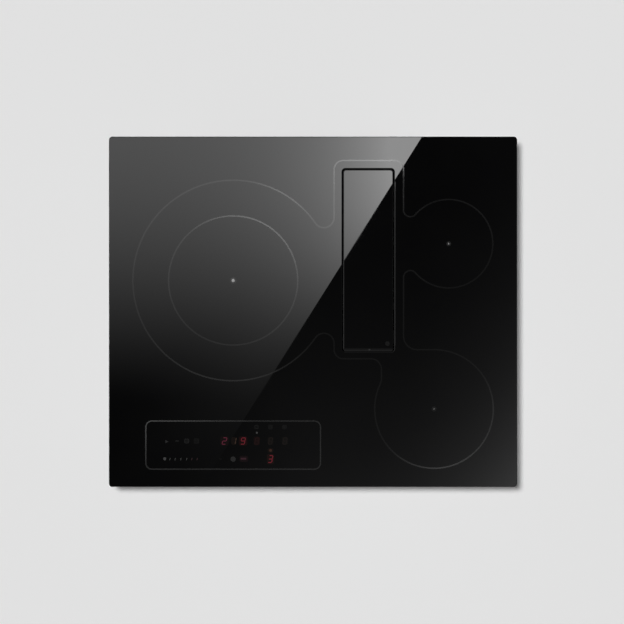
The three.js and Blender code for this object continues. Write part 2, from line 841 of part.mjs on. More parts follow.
function makeTouchControl() {
  const frameUnder = glassUnder - panelFrameThick;
  const frame = roundedFrame(panelX, panelY, panelWidth, panelDepth, panelFrameWall, 9, frameUnder, glassUnder);
  add("touch_frame", frame, finishes.blackPlastic);

  const board = block(
    panelX - panelWidth / 2, panelX + panelWidth / 2, panelY - panelDepth / 2 + panelBoardInset,
    panelY + panelDepth / 2 - panelBoardInset, frameUnder - boardThick, frameUnder,
  );
  add("touch_board", board, finishes.circuit);

  const x = panelX + displayShift;
  const display = block(x - displayWidth / 2, x + displayWidth / 2, panelY - displayDepth / 2,
    panelY + displayDepth / 2, frameUnder, frameUnder + displayHeight);
  add("display_module", display, finishes.display);
}

// ---- Lower casing --------------------------------------------------------------------------

const casingX = (casingLeft + casingRight) / 2;
const casingY = (casingFront + casingRear) / 2;
const casingWidth = casingRight - casingLeft;
const casingDepth = casingRear - casingFront;
const drawerWidth = wellInnerWidth - 2 * drawerClear;
const drawerUnder = casingWall + GAP;
const drawerRear = ventY + wellInnerDepth / 2;

function makeCasing() {
  const outer = roundedSlab(casingX, casingY, casingWidth, casingDepth, casingCorner, 0, trayUnder);
  const inner = roundedSlab(
    casingX, casingY, casingWidth - 2 * casingWall, casingDepth - 2 * casingWall,
    casingCorner - casingWall, casingWall, trayUnder + 1,
  );
  const drawerHole = block(
    ventX - drawerWidth / 2 - GAP, ventX + drawerWidth / 2 + GAP, casingFront - 1,
    casingFront + casingWall + 1, drawerUnder - GAP, drawerUnder + drawerHeight + GAP,
  );
  const outletHole = block(
    outletLeft + scrollWall, outletRight - scrollWall, casingRear - casingWall - 1, casingRear + 1,
    scrollLift + scrollWall, scrollTop - scrollWall,
  );
  const ears = casingEars().map(({ x, y }) => {
    const toCasing = x < casingX ? earSize / 2 + casingWall / 2 : -earSize / 2 - casingWall / 2;
    return block(Math.min(x - earSize / 2, x + toCasing), Math.max(x + earSize / 2, x + toCasing),
      y - earSize / 2, y + earSize / 2, trayUnder - earThick, trayUnder);
  });
  const earHoles = casingEars().map(({ x, y }) =>
    disc(x, y, screwRadius + GAP, trayUnder - earThick - 1, trayUnder + 1, 8),
  );
  const shell = cut(outer, inner, drawerHole, outletHole);
  add("lower_casing", cut(join(shell, ...ears), ...earHoles), finishes.blackPlastic);

  casingEars().forEach(({ x, y }, i) => {
    const under = trayUnder - earThick;
    const screw = join(
      disc(x, y, screwHeadRadius, under - screwHeadThick, under, 10),
      disc(x, y, screwRadius, under - 1, under + screwLength, 8),
    );
    add("casing_screw_" + (i + 1), screw, finishes.steelSheet);
  });
}

// ---- Blower --------------------------------------------------------------------------------

// The scroll's outline seen from above, drawn in by an inset: a spiral that grows clockwise from
// the tongue, then an outlet that widens to the rear wall.
function scrollOutline(path, inset, rear) {
  const steps = 20;
  const span = scrollTongueAngle + 180;
  for (let i = 0; i <= steps; i++) {
    const angle = THREE.MathUtils.degToRad(scrollTongueAngle - (span * i) / steps);
    const radius = scrollStartRadius + ((scrollEndRadius - scrollStartRadius) * i) / steps - inset;
    const x = blowerX + radius * Math.cos(angle);
    const y = blowerY + radius * Math.sin(angle);
    if (i === 0) path.moveTo(x, y);
    else path.lineTo(x, y);
  }
  path.lineTo(outletLeft + inset, rear);
  path.lineTo(outletRight - inset, rear);
  path.closePath();
  return path;
}

function makeScroll() {
  const rear = casingRear - casingWall;
  const outer = slab(scrollOutline(new THREE.Shape(), 0, rear), scrollLift, scrollTop - scrollWall);
  const hollow = slab(scrollOutline(new THREE.Shape(), scrollWall, rear + 1), scrollLift + scrollWall, scrollTop);
  const feet = [
    [-scrollStartRadius * 0.7, -scrollStartRadius * 0.7],
    [scrollStartRadius * 0.65, -scrollStartRadius * 0.65],
    [-scrollStartRadius * 0.7, casingRear - blowerY - 40],
    [scrollStartRadius * 0.6, casingRear - blowerY - 40],
  ].map(([x, y]) =>
    disc(blowerX + x, blowerY + y, scrollFootRadius, casingWall, scrollLift + scrollWall / 2, 12),
  );
  add("scroll_base", join(cut(outer, hollow), ...feet), finishes.blackPlastic);

  const lid = slab(scrollOutline(new THREE.Shape(), 0, rear), scrollTop - scrollWall, scrollTop);
  const lip = ring(blowerX, blowerY, inletRadius, inletRadius + scrollWall, scrollTop - 1, scrollTop + inletLip, 32);
  const inlet = disc(blowerX, blowerY, inletRadius, scrollTop - scrollWall - 1, scrollTop + inletLip + 1, 32);
  add("scroll_cover", cut(join(lid, lip), inlet), finishes.blackPlastic);
}

function makeMotorAndImpeller() {
  const floor = scrollLift + scrollWall;
  const motorTop = floor + motorHeight;
  const shaftTop = motorTop + motorShaftLength;
  const motor = join(
    disc(blowerX, blowerY, motorRadius, floor, motorTop, 24),
    disc(blowerX, blowerY, motorShaftRadius, motorTop - 1, shaftTop, 12),
  );
  add("fan_motor", motor, finishes.motorCase);

  const blower = new THREE.Group();
  blower.position.set(blowerX, blowerY, 0);
  cooktop.add(blower);
  const plateUnder = floor + impellerRunning;
  const cupInner = motorRadius + impellerCupClear;
  const cupOuter = cupInner + impellerPlate;
  const cupTop = shaftTop + GAP + impellerPlate;
  const bodyProfile = [
    [cupInner, plateUnder],
    [impellerRadius, plateUnder],
    [impellerRadius, plateUnder + impellerPlate],
    [cupOuter, plateUnder + impellerPlate],
    [cupOuter, cupTop],
    [0, cupTop],
    [0, cupTop - impellerPlate],
    [cupInner, cupTop - impellerPlate],
    [cupInner, plateUnder],
  ];
  const bladeTop = scrollTop - scrollWall - impellerRunning;
  const shroud = ring(0, 0, impellerRadius - impellerBladeDepth, impellerRadius,
    bladeTop - impellerPlate, bladeTop, 36);
  const blades = [];
  for (let i = 0; i < impellerBlades; i++) {
    const blade = new THREE.BoxGeometry(impellerBladeDepth - 1, 1.4, bladeTop - plateUnder - 1);
    blade.rotateZ(THREE.MathUtils.degToRad(28));
    blade.translate(impellerRadius - impellerBladeDepth / 2 - 1, 0, (bladeTop + plateUnder) / 2);
    blade.rotateZ((i * 2 * Math.PI) / impellerBlades);
    blades.push(blade);
  }
  add("impeller", join(lathe(bodyProfile, 36), shroud, ...blades), finishes.greyPlastic, blower);
}

function makeSpigot() {
  const y0 = casingRear;
  const [x0, x1] = [outletLeft + scrollWall, outletRight - scrollWall];
  const [z0, z1] = [scrollLift + scrollWall, scrollTop - scrollWall];
  const w = spigotWall;
  const f = spigotFlange;
  const flange = block(x0 - f, x1 + f, y0, y0 + spigotFlangeThick, z0 - f, z1 + f);
  const tube = block(x0 - w, x1 + w, y0, y0 + spigotLength, z0 - w, z1 + w);
  const bore = block(x0, x1, y0 - 1, y0 + spigotLength + 1, z0, z1);
  add("outlet_spigot", cut(join(flange, tube), bore), finishes.blackPlastic);
}

// ---- Filters, drawer and boxes in the casing -----------------------------------------------

function makeOdourFilter() {
  const x1 = ventX - wellOuterWidth / 2 - odourFromWell;
  const x0 = x1 - odourThick;
  const z0 = casingWall;
  const z1 = trayUnder - odourTop;
  const panel = block(x0, x1, odourFront, odourRear, z0, z1);
  const pitchY = (odourRear - odourFront - odourRib) / odourColumns;
  const pitchZ = (z1 - z0 - odourRib) / odourRows;
  const cells = [];
  for (let i = 0; i < odourColumns; i++) {
    for (let j = 0; j < odourRows; j++) {
      const y = odourFront + odourRib + i * pitchY;
      const z = z0 + odourRib + j * pitchZ;
      cells.push(block(x0 - 1, x1 + 1, y, y + pitchY - odourRib, z, z + pitchZ - odourRib));
    }
  }
  add("odour_filter", cut(panel, ...cells), finishes.carbon);
}

function makeDrawer() {
  const [x0, x1] = [ventX - drawerWidth / 2, ventX + drawerWidth / 2];
  const y0 = casingFront - GAP - 1;
  const [z0, z1] = [drawerUnder, drawerUnder + drawerHeight];
  const w = drawerWall;
  const body = block(x0, x1, y0, drawerRear, z0, z1);
  const hollow = block(x0 + w, x1 - w, casingFront + casingWall + w, drawerRear - w, z0 + w, z1 + 1);
  const m = drawerFaceMargin;
  const faceY = casingFront - GAP;
  const face = block(x0 - m, x1 + m, faceY - drawerFaceThick, faceY, 1, z1 + m);
  const middle = (x0 + x1) / 2;
  const grip = block(middle - 3 * drawerGripDepth / 2, middle + 3 * drawerGripDepth / 2,
    faceY - drawerFaceThick - drawerGripDepth, faceY - 1, z1, z1 + drawerWall);
  add("drip_drawer", join(cut(body, hollow), face, grip), finishes.greyPlastic);
}

function makeControlBox() {
  const box = roundedSlab(controlBoxX, controlBoxY, controlBoxWidth, controlBoxDepth, 3,
    casingWall, casingWall + controlBoxHeight);
  add("blower_control_box", box, finishes.greyPlastic);
}

function makeTerminalBox() {
  const [x0, x1] = [terminalX - terminalWidth / 2, terminalX + terminalWidth / 2];
  const [y0, y1] = [terminalY - terminalDepth / 2, terminalY + terminalDepth / 2];
  const z0 = trayUnder - terminalHeight;
  const w = terminalWall;
  const shell = cut(
    block(x0, x1, y0, y1, z0, trayUnder),
    block(x0 + w, x1 - w, y0 + w, y1 - w, z0 - 1, trayUnder - w),
    rod(terminalX, y1, z0 + terminalHeight / 2, glandRadius - 2, 4 * w, "y", 20),
  );
  add("terminal_box", shell, finishes.greyPlastic);
  add("terminal_lid", roundedSlab(terminalX, terminalY, terminalWidth, terminalDepth, 2, z0 - terminalLid, z0),
    finishes.greyPlastic);

  const z = z0 + terminalHeight / 2;
  const gland = cut(
    join(
      rod(terminalX, y1 + glandLength / 2, z, glandRadius, glandLength, "y", 12),
      rod(terminalX, y1 - w, z, glandRadius - 2 - GAP, 3 * w, "y", 20),
    ),
    rod(terminalX, y1, z, glandBore, 4 * glandLength, "y", 16),
  );
  add("cable_gland", gland, finishes.blackPlastic);
}

// ---- Side clamps ---------------------------------------------------------------------------

const clampTop = glassUnder - clampDrop;
const clampScrewZ = clampTop - 6;

function makeClamp(name, side, y) {
  const wall = (side * trayWidth) / 2;
  const t = clampThick;
  const bottom = clampTop - clampHeight;
  const waist = clampTop - 12;
  const elbow = bottom + 6;
  const outline = [
    [0, clampTop],
    [0, waist],
    [clampBulge, elbow],
    [2, bottom],
    [2 + t, bottom],
    [clampBulge + t, elbow],
    [t, waist],
    [t, clampTop],
  ];
  const shape = new THREE.Shape(outline.map(([out, z]) => new THREE.Vector2(out, z)));
  const strip = new THREE.ExtrudeGeometry(shape, { depth: clampWidth, bevelEnabled: false });
  strip.rotateX(Math.PI / 2);
  if (side < 0) strip.rotateZ(Math.PI);
  strip.translate(wall, y + (side * clampWidth) / 2, 0);
  const hole = rod(wall, y, clampScrewZ, screwRadius + GAP, 6, "x");
  add(name, cut(strip, hole), finishes.steelSheet);

  const head = wall + side * t;
  const screw = join(
    rod(head + (side * screwHeadThick) / 2, y, clampScrewZ, screwHeadRadius, screwHeadThick, "x"),
    rod(head - side * (screwLength / 2 - 1), y, clampScrewZ, screwRadius, screwLength, "x"),
  );
  add(name + "_screw", screw, finishes.steelSheet);
}

function makeClamps() {
  for (const { side, y } of clampPlaces()) {
    const name = (y < 0 ? "front" : "rear") + (side < 0 ? "_left" : "_right") + "_clamp";
    makeClamp(name, side, y);
  }
}

// ---- Assembly ------------------------------------------------------------------------------

makeGlassTop();
makeFlap();
makeSeals();
makeTray();
makeWell();
makeLatch();
makeGreaseFilter();
makeCoils();
makeGenerator("left", leftBoard, leftBoardWidth, leftBoardDepth, 20);
makeGenerator("right", rightBoard, rightBoardWidth, rightBoardDepth, 0);
makeCoolingFan("left", leftFan);
makeCoolingFan("right", rightFan);
makeTouchControl();
makeCasing();
makeScroll();
makeMotorAndImpeller();
makeSpigot();
makeOdourFilter();
makeDrawer();
makeControlBox();
makeTerminalBox();
makeClamps();

export default cooktop;
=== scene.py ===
# Downdraft induction cooktop. Lengths are in metres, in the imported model's frame: +X right, +Y rear, +Z up.
import math

import bmesh
import bpy
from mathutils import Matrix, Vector


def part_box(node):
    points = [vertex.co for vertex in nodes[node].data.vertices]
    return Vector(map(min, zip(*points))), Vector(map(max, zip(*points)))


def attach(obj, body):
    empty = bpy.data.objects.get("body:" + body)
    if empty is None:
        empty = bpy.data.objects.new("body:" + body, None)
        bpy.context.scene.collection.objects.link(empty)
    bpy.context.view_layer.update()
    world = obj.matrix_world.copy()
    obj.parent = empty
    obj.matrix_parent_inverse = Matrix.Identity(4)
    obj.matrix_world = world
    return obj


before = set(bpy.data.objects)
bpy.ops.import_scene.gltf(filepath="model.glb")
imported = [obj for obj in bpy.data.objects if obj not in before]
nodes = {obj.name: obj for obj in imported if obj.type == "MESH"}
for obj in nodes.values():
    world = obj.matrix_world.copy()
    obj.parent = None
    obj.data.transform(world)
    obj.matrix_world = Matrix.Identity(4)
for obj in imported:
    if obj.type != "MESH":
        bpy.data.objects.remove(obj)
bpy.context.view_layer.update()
MM = 0.001


# ---------------------------------------------------------------- shader graphs
class Graph:
    """A material's node tree with one Principled shader, and short calls for the nodes that feed it."""

    def __init__(self, name, **values):
        self.material = bpy.data.materials.new(name)
        self.material.use_nodes = True
        self.tree = self.material.node_tree
        self.tree.nodes.clear()
        self.shader = self.node("ShaderNodeBsdfPrincipled")
        self.output = self.node("ShaderNodeOutputMaterial")
        self.link(self.shader.outputs[0], self.output.inputs[0])
        for slot_shade, value in values.items():
            self.shader.inputs[slot_shade.replace("_", " ")].default_value = value
        self.place = self.node("ShaderNodeTexCoord").outputs["Object"]

    def node(self, kind, **settings):
        made = self.tree.nodes.new(kind)
        for key, value in settings.items():
            setattr(made, key, value)
        return made

    def link(self, source, target):
        self.tree.links.new(source, target)

    def feed(self, node, index, value):
        if isinstance(value, bpy.types.NodeSocket):
            self.link(value, node.inputs[index])
        else:
            node.inputs[index].default_value = value

    def math(self, operation, a, b=0.0):
        made = self.node("ShaderNodeMath", operation=operation)
        self.feed(made, 0, a)
        self.feed(made, 1, b)
        return made.outputs[0]

    def stretch(self, scale, shift=(0.0, 0.0, 0.0), turn=(0.0, 0.0, 0.0)):
        made = self.node("ShaderNodeMapping")
        made.inputs["Location"].default_value = shift
        made.inputs["Rotation"].default_value = turn
        made.inputs["Scale"].default_value = scale
        self.link(self.place, made.inputs["Vector"])
        return made.outputs[0]

    def noise(self, scale, detail=3.0, rough=0.5, vector=None):
        made = self.node("ShaderNodeTexNoise")
        self.link(vector or self.place, made.inputs["Vector"])
        made.inputs["Scale"].default_value = scale
        made.inputs["Detail"].default_value = detail
        made.inputs["Roughness"].default_value = rough
        return made.outputs["Fac"]

    def cells(self, scale, feature="F1", output="Distance", vector=None):
        made = self.node("ShaderNodeTexVoronoi", feature=feature)
        self.link(vector or self.place, made.inputs["Vector"])
        made.inputs["Scale"].default_value = scale
        return made.outputs[output]

    def waves(self, scale, direction):
        made = self.node("ShaderNodeTexWave", wave_type="BANDS", bands_direction=direction)
        self.link(self.place, made.inputs["Vector"])
        made.inputs["Scale"].default_value = scale
        made.inputs["Distortion"].default_value = 0.0
        return made.outputs["Fac"]

    def ramp(self, factor, *stops):
        made = self.node("ShaderNodeValToRGB")
        self.link(factor, made.inputs[0])
        points = made.color_ramp.elements
        while len(points) < len(stops):
            points.new(1.0)
        for point, (position, colour) in zip(points, stops):
            point.position = position
            point.color = (*colour, 1.0) if isinstance(colour, tuple) else (colour, colour, colour, 1.0)
        return made.outputs[0]

    def spread(self, factor, low, high, start=0.0, end=1.0, kind="LINEAR"):
        made = self.node("ShaderNodeMapRange", interpolation_type=kind)
        self.link(factor, made.inputs[0])
        for index, value in enumerate((start, end, low, high), 1):
            made.inputs[index].default_value = value
        return made.outputs[0]

    def blend(self, factor, a, b, kind="MIX"):
        made = self.node("ShaderNodeMix", data_type="RGBA", blend_type=kind)
        self.feed(made, 0, factor)
        self.feed(made, 6, a)
        self.feed(made, 7, b)
        return made.outputs[2]

    def bump(self, height, distance, strength, normal=None):
        made = self.node("ShaderNodeBump")
        made.inputs["Strength"].default_value = strength
        made.inputs["Distance"].default_value = distance
        self.link(height, made.inputs["Height"])
        if normal:
            self.link(normal, made.inputs["Normal"])
        return made.outputs[0]

    def set(self, **sockets):
        for slot_shade, source in sockets.items():
            self.link(source, self.shader.inputs[slot_shade.replace("_", " ")])
        return self.material


def plain_grain(name, dark, light, rough_low, rough_high, grain, depth):
    """A moulded or cast surface: a slow change of colour, and a fine grain in its gloss and relief."""
    g = Graph(name)
    fine = g.noise(grain, 2.0)
    slow = g.noise(14.0, 3.0)
    return g.set(
        Base_Color=g.ramp(slow, (0.3, dark), (0.7, light)),
        Roughness=g.spread(fine, rough_low, rough_high, 0.3, 0.7),
        Normal=g.bump(fine, depth, 0.6),
    )


def make_glass():
    g = Graph("black_glass_polished", IOR=1.5)
    haze = g.noise(9.0, 4.0, 0.6)
    return g.set(
        Base_Color=g.ramp(haze, (0.3, (0.0006, 0.0006, 0.0007)), (0.7, (0.0011, 0.0011, 0.0012))),
        Roughness=g.spread(haze, 0.0, 0.02, 0.35, 0.75),
    )


def make_zinc():
    g = Graph("galvanised_sheet", Metallic=1.0)
    drift = g.noise(40.0, 2.0)
    spangle = g.cells(150.0, output="Color", vector=g.blend(0.012, g.place, drift, "ADD"))
    tone = g.ramp(spangle, (0.2, (0.47, 0.48, 0.49)), (0.8, (0.58, 0.59, 0.60)))
    dust = g.noise(30.0, 5.0, 0.6)
    return g.set(
        Base_Color=g.blend(g.spread(dust, 0.0, 0.35, 0.45, 0.75), tone, (0.36, 0.36, 0.36, 1.0)),
        Roughness=g.spread(spangle, 0.34, 0.46),
        Normal=g.bump(g.noise(500.0, 2.0), 0.00005, 0.4),
    )


def make_steel():
    g = Graph("plated_steel", Metallic=1.0)
    wear = g.noise(160.0, 4.0)
    return g.set(
        Base_Color=g.ramp(wear, (0.3, (0.46, 0.47, 0.48)), (0.7, (0.64, 0.64, 0.63))),
        Roughness=g.spread(wear, 0.22, 0.42),
        Normal=g.bump(g.noise(900.0, 2.0), 0.00003, 0.5),
    )


DARK_RIM_DEEP = 0.0022  # how far down the grease filter's rim is coloured near black


def make_filter_steel():
    """Expanded metal: rows of small holes, painted dark inside as shade, over a stainless basket, whose rim is
    coloured near black along its top.
    """
    g = Graph("filter_mesh_steel")
    holes = g.cells(420.0, vector=g.stretch((1.0, 0.6, 1.0)))
    web = g.spread(holes, 0.0, 1.0, 0.16, 0.34)
    # Inside the holes the colour is dark: painted shade.
    steel = g.blend(web, (0.05, 0.05, 0.05, 1.0), (0.50, 0.50, 0.50, 1.0))
    low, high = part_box("grease_filter")
    height = g.node("ShaderNodeSeparateXYZ")
    g.link(g.node("ShaderNodeTexCoord").outputs["Generated"], height.inputs[0])
    rim = g.math("GREATER_THAN", height.outputs[2], 1 - DARK_RIM_DEEP / (high.z - low.z))
    return g.set(
        Base_Color=g.blend(rim, steel, (0.010, 0.010, 0.010, 1.0)),
        Metallic=g.math("MULTIPLY", g.math("SUBTRACT", 1.0, rim), 0.72),
        Roughness=g.spread(g.noise(60.0), 0.26, 0.40),
        Normal=g.bump(web, 0.0004, 0.8),
    )


def make_foam():
    g = Graph("closed_cell_foam", Roughness=0.9)
    pores = g.cells(1100.0)
    return g.set(
        Base_Color=g.ramp(pores, (0.1, (0.020, 0.020, 0.021)), (0.7, (0.045, 0.045, 0.046))),
        Normal=g.bump(pores, 0.0003, 0.8),
    )


TURN_HALF = 0.00135  # half the pitch of a coil's turns


def make_winding(name, centre):
    """Twisted copper strands laid in turns around one centre, with painted shade in the grooves between the turns.
    """
    g = Graph(name, Metallic=0.85)
    local = g.stretch((1.0, 1.0, 0.0), (-centre[0], -centre[1], 0.0))
    length = g.node("ShaderNodeVectorMath", operation="LENGTH")
    g.link(local, length.inputs[0])
    turns = g.math("PINGPONG", length.outputs["Value"], TURN_HALF)
    groove_and_shade = g.spread(turns, 0.0, 1.0, 0.0, TURN_HALF)
    strand = g.noise(900.0, 3.0, 0.6)
    copper = g.ramp(strand, (0.3, (0.52, 0.22, 0.10)), (0.7, (0.72, 0.36, 0.18)))
    return g.set(
        Base_Color=g.blend(groove_and_shade, (0.10, 0.03, 0.012, 1.0), copper),
        Roughness=g.spread(strand, 0.28, 0.5),
        Normal=g.bump(groove_and_shade, 0.0008, 0.8),
    )


def make_mica():
    g = Graph("mineral_fibre_board")
    flakes = g.cells(700.0, output="Color", vector=g.stretch((1.0, 0.35, 1.0), turn=(0.0, 0.0, 0.6)))
    return g.set(
        Base_Color=g.ramp(flakes, (0.1, (0.52, 0.50, 0.44)), (0.9, (0.70, 0.68, 0.62))),
        Roughness=g.spread(flakes, 0.55, 0.85),
        Normal=g.bump(flakes, 0.0001, 0.6),
    )


def make_aluminium():
    g = Graph("rolled_aluminium", Metallic=1.0)
    lines = g.noise(120.0, 4.0, 0.6, g.stretch((1.0, 26.0, 1.0)))
    return g.set(
        Base_Color=g.ramp(lines, (0.3, (0.58, 0.59, 0.60)), (0.7, (0.74, 0.75, 0.76))),
        Roughness=g.spread(lines, 0.24, 0.40),
        Normal=g.bump(lines, 0.00003, 0.5),
    )


def make_circuit():
    g = Graph("circuit_board", Roughness=0.38)
    traces = g.node("ShaderNodeTexBrick")
    g.link(g.stretch((90.0, 90.0, 1.0)), traces.inputs["Vector"])
    traces.inputs["Color1"].default_value = (0.012, 0.075, 0.035, 1.0)
    traces.inputs["Color2"].default_value = (0.009, 0.055, 0.027, 1.0)
    traces.inputs["Mortar"].default_value = (0.03, 0.16, 0.08, 1.0)
    traces.inputs["Scale"].default_value = 1.0
    traces.inputs["Mortar Size"].default_value = 0.06
    return g.set(
        Base_Color=traces.outputs["Color"],
        Normal=g.bump(traces.outputs["Fac"], 0.00005, 0.5),
    )


def make_carbon():
    """Activated carbon in a honeycomb of small cells, whose openings are painted darker than the walls as shade down
    the cells.
    """
    g = Graph("carbon_honeycomb", Roughness=0.85)
    comb = g.cells(260.0, feature="DISTANCE_TO_EDGE")
    grit = g.noise(1500.0, 3.0)
    wall = g.spread(comb, 1.0, 0.0, 0.0, 0.12)
    return g.set(
        Base_Color=g.blend(wall, g.ramp(grit, (0.3, 0.008), (0.7, 0.02)), (0.06, 0.06, 0.06, 1.0)),
        Normal=g.bump(wall, 0.0008, 0.7, g.bump(grit, 0.0002, 0.5)),
    )


def make_motor():
    """Stacked laminations under a thin coat."""
    g = Graph("motor_laminations", Metallic=0.9)
    sheets = g.waves(320.0, "Z")
    return g.set(
        Base_Color=g.ramp(sheets, (0.2, (0.16, 0.16, 0.17)), (0.8, (0.34, 0.34, 0.35))),
        Roughness=g.spread(g.noise(200.0), 0.3, 0.5),
        Normal=g.bump(sheets, 0.0002, 0.6),
    )


def make_print(name, dark, light, *painted_highlights, ior=1.58):
    """Fired enamel on the glass: tiny dots of the screen show in its gloss.

    Painted highlights make it lighter in places: each has a middle, a reach, both (x, y), and the tone that is added
    there.
    """
    g = Graph(name, IOR=ior)
    dots = g.cells(1800.0)
    tone = g.ramp(dots, (0.1, dark), (0.7, light))
    for (x, y), (reach_x, reach_y), extra in painted_highlights:
        away = g.node("ShaderNodeVectorMath", operation="LENGTH")
        g.link(g.stretch((1 / reach_x, 1 / reach_y, 0.0), (-x / reach_x, -y / reach_y, 0.0)), away.inputs[0])
        tone = g.blend(1.0, tone, g.spread(away.outputs["Value"], extra, 0.0, kind="SMOOTHSTEP"), "ADD")
    return g.set(Base_Color=tone, Roughness=g.spread(dots, 0.03, 0.05))


def make_lit(name, *colour):
    """A lit mark seen through the glass, with the slight unevenness of a light guide."""
    g = Graph(name, Base_Color=(0.002, 0.002, 0.002, 1.0), Roughness=0.04, IOR=1.5, Emission_Strength=1.0)
    uneven = g.noise(700.0, 2.0)
    dim = tuple(c * 0.8 for c in colour)
    return g.set(Emission_Color=g.ramp(uneven, (0.3, dim), (0.7, colour)))


finishes = {
    "black_glass": make_glass(),
    "zinc_sheet": make_zinc(),
    "steel": make_steel(),
    "filter_steel": make_filter_steel(),
    "black_plastic": plain_grain("black_moulding", 0.010, 0.016, 0.38, 0.56, 1300.0, 0.00005),
    "grey_plastic": plain_grain("grey_moulding", 0.075, 0.095, 0.42, 0.58, 1200.0, 0.00005),
    "foam": make_foam(),
    "rubber": plain_grain("seal_rubber", 0.010, 0.017, 0.62, 0.85, 700.0, 0.0001),
    "mica": make_mica(),
    "aluminium": make_aluminium(),
    "circuit": make_circuit(),
    "display": plain_grain("smoked_lens", 0.006, 0.010, 0.06, 0.14, 300.0, 0.00001),
    "carbon": make_carbon(),
    "motor": make_motor(),
}


def middle(name):
    low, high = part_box(name)
    return (low + high) / 2


# What can be seen down the gaps round the flap gets a near-black colour: painted shade for the dark down the gaps.
gap_shade_black = plain_grain("painted_gap_shade_black", 0.0025, 0.0040, 0.60, 0.75, 1300.0, 0.00005)
UNDER_GAPS = ("latch_body", "flap_carrier", "filter_well")

for name, node in nodes.items():
    for place in node.material_slots:
        slot_name = place.material.name
        if slot_name == "winding":
            place.material = make_winding("copper_turns_" + name, middle(name))
        elif name in UNDER_GAPS:
            place.material = gap_shade_black
        else:
            place.material = finishes[slot_name]


# ---------------------------------------------------------------- meshes
def new_object(name, vertices, faces, finish):
    mesh = bpy.data.meshes.new(name)
    mesh.from_pydata([tuple(v) for v in vertices], [], faces)
    mesh.materials.append(finish)
    made = bpy.data.objects.new(name, mesh)
    bpy.context.scene.collection.objects.link(made)
    return made


def piece(name, vertices, faces, finish, body="hob", slot="black_plastic"):
    """A detail of the object itself, on one of its bodies, with its faces turned outward."""
    made = new_object(name, vertices, faces, finish)
    work = bmesh.new()
    work.from_mesh(made.data)
    bmesh.ops.recalc_face_normals(work, faces=work.faces)
    work.to_mesh(made.data)
    work.free()
    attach(made, body)


def extruded(outlines, low, high):
    """Vertices and faces of flat-topped solids, one for each closed outline of (x, y) points."""
    vertices, faces = [], []
    for outline in outlines:
        first, count = len(vertices), len(outline)
        vertices += [(x, y, low) for x, y in outline] + [(x, y, high) for x, y in outline]
        faces.append([first + i for i in range(count)])
        faces.append([first + count + i for i in range(count)])
        for i in range(count):
            j = (i + 1) % count
            faces.append([first + i, first + j, first + count + j, first + count + i])
    return vertices, faces


def arc(centre, radius, start, end, step=2.5):
    """Points on an arc, with angles in degrees; end below start runs clockwise."""
    count = max(2, math.ceil(abs(end - start) / step))
    return [
        (
            centre[0] + radius * math.cos(math.radians(start + (end - start) * i / count)),
            centre[1] + radius * math.sin(math.radians(start + (end - start) * i / count)),
        )
        for i in range(count + 1)
    ]


def tidy_loop(points):
    """The closed loop without points that fall on each other."""
    kept = []
    for p in points:
        if not kept or math.dist(p, kept[-1]) > 1e-6:
            kept.append(p)
    if math.dist(kept[0], kept[-1]) < 1e-6:
        kept.pop()
    return kept


def ribbon(loop, width, low, high):
    """A band of the given width along a closed loop of (x, y) points."""
    loop = tidy_loop(loop)
    count = len(loop)
    inner, outer = [], []
    for i, (x, y) in enumerate(loop):
        before, after = loop[i - 1], loop[(i + 1) % count]
        dx, dy = after[0] - before[0], after[1] - before[1]
        size = math.hypot(dx, dy)
        nx, ny = dy / size * width / 2, -dx / size * width / 2
        inner.append((x - nx, y - ny))
        outer.append((x + nx, y + ny))
    vertices = [(*p, z) for ring in (inner, outer) for z in (low, high) for p in ring]
    faces = []
    for i in range(count):
        j = (i + 1) % count
        a, b, c, d = (k * count for k in range(4))  # inner low, inner high, outer low, outer high
        faces.append([b + i, b + j, d + j, d + i])
        faces.append([a + i, c + i, c + j, a + j])
        faces.append([a + i, a + j, b + j, b + i])
        faces.append([c + i, d + i, d + j, c + j])
    return vertices, faces


def rounded(x0, y0, x1, y1, r):
    """Clockwise outline of a rounded rectangle."""
    return (
        arc((x0 + r, y1 - r), r, 180, 90, 6)
        + arc((x1 - r, y1 - r), r, 90, 0, 6)
        + arc((x1 - r, y0 + r), r, 0, -90, 6)
        + arc((x0 + r, y0 + r), r, -90, -180, 6)
    )


def circle(centre, radius, step):
    return arc(centre, radius, 0, 360, step)[:-1]


def rectangle(x0, y0, x1, y1):
    return [(x0, y0), (x1, y0), (x1, y1), (x0, y1)]


def dome(rings, levels):
    """A closed solid over rings of (x, y) points, one for each level."""
    count = len(rings[0])
    vertices = [(x, y, z) for ring, z in zip(rings, levels) for x, y in ring]
    faces = [list(range(count)), [(len(rings) - 1) * count + i for i in range(count)]]
    for k in range(len(rings) - 1):
        for i in range(count):
            j = (i + 1) % count
            faces.append([k * count + i, k * count + j, (k + 1) * count + j, (k + 1) * count + i])
    return vertices, faces


# ---------------------------------------------------------------- print on the glass
glass_low, glass_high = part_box("glass_top")
TOP = glass_high.z
# The print's base lies a little inside the glass. A faint edge or glow lies lower than the mark that it surrounds.
PRINT_LOW, PRINT_HIGH, FAINT_HIGH = TOP - 0.02 * MM, TOP + 0.03 * MM, TOP + 0.015 * MM
GLASS_IOR = 1.5


def mark(name, outlines, finish, body="hob", slot="black_plastic", high=PRINT_HIGH):
    """A flat mark on the glass, filled inside its outlines."""
    piece(name, *extruded(outlines, PRINT_LOW, high), finish, body, slot)


def line_mark(name, loop, width, finish):
    """A printed line along a closed loop."""
    piece(name, *ribbon(loop, width, PRINT_LOW, PRINT_HIGH), finish)


LEFT = middle("left_outer_coil").xy
REAR = middle("rear_coil").xy
FRONT = middle("front_coil").xy
LEFT_RADIUS, LEFT_INNER_RADIUS = 147.4 * MM, 94.9 * MM
REAR_RADIUS, FRONT_RADIUS = 65.0 * MM, 87.2 * MM
LINE = 2.0 * MM  # how wide the zones' lines are

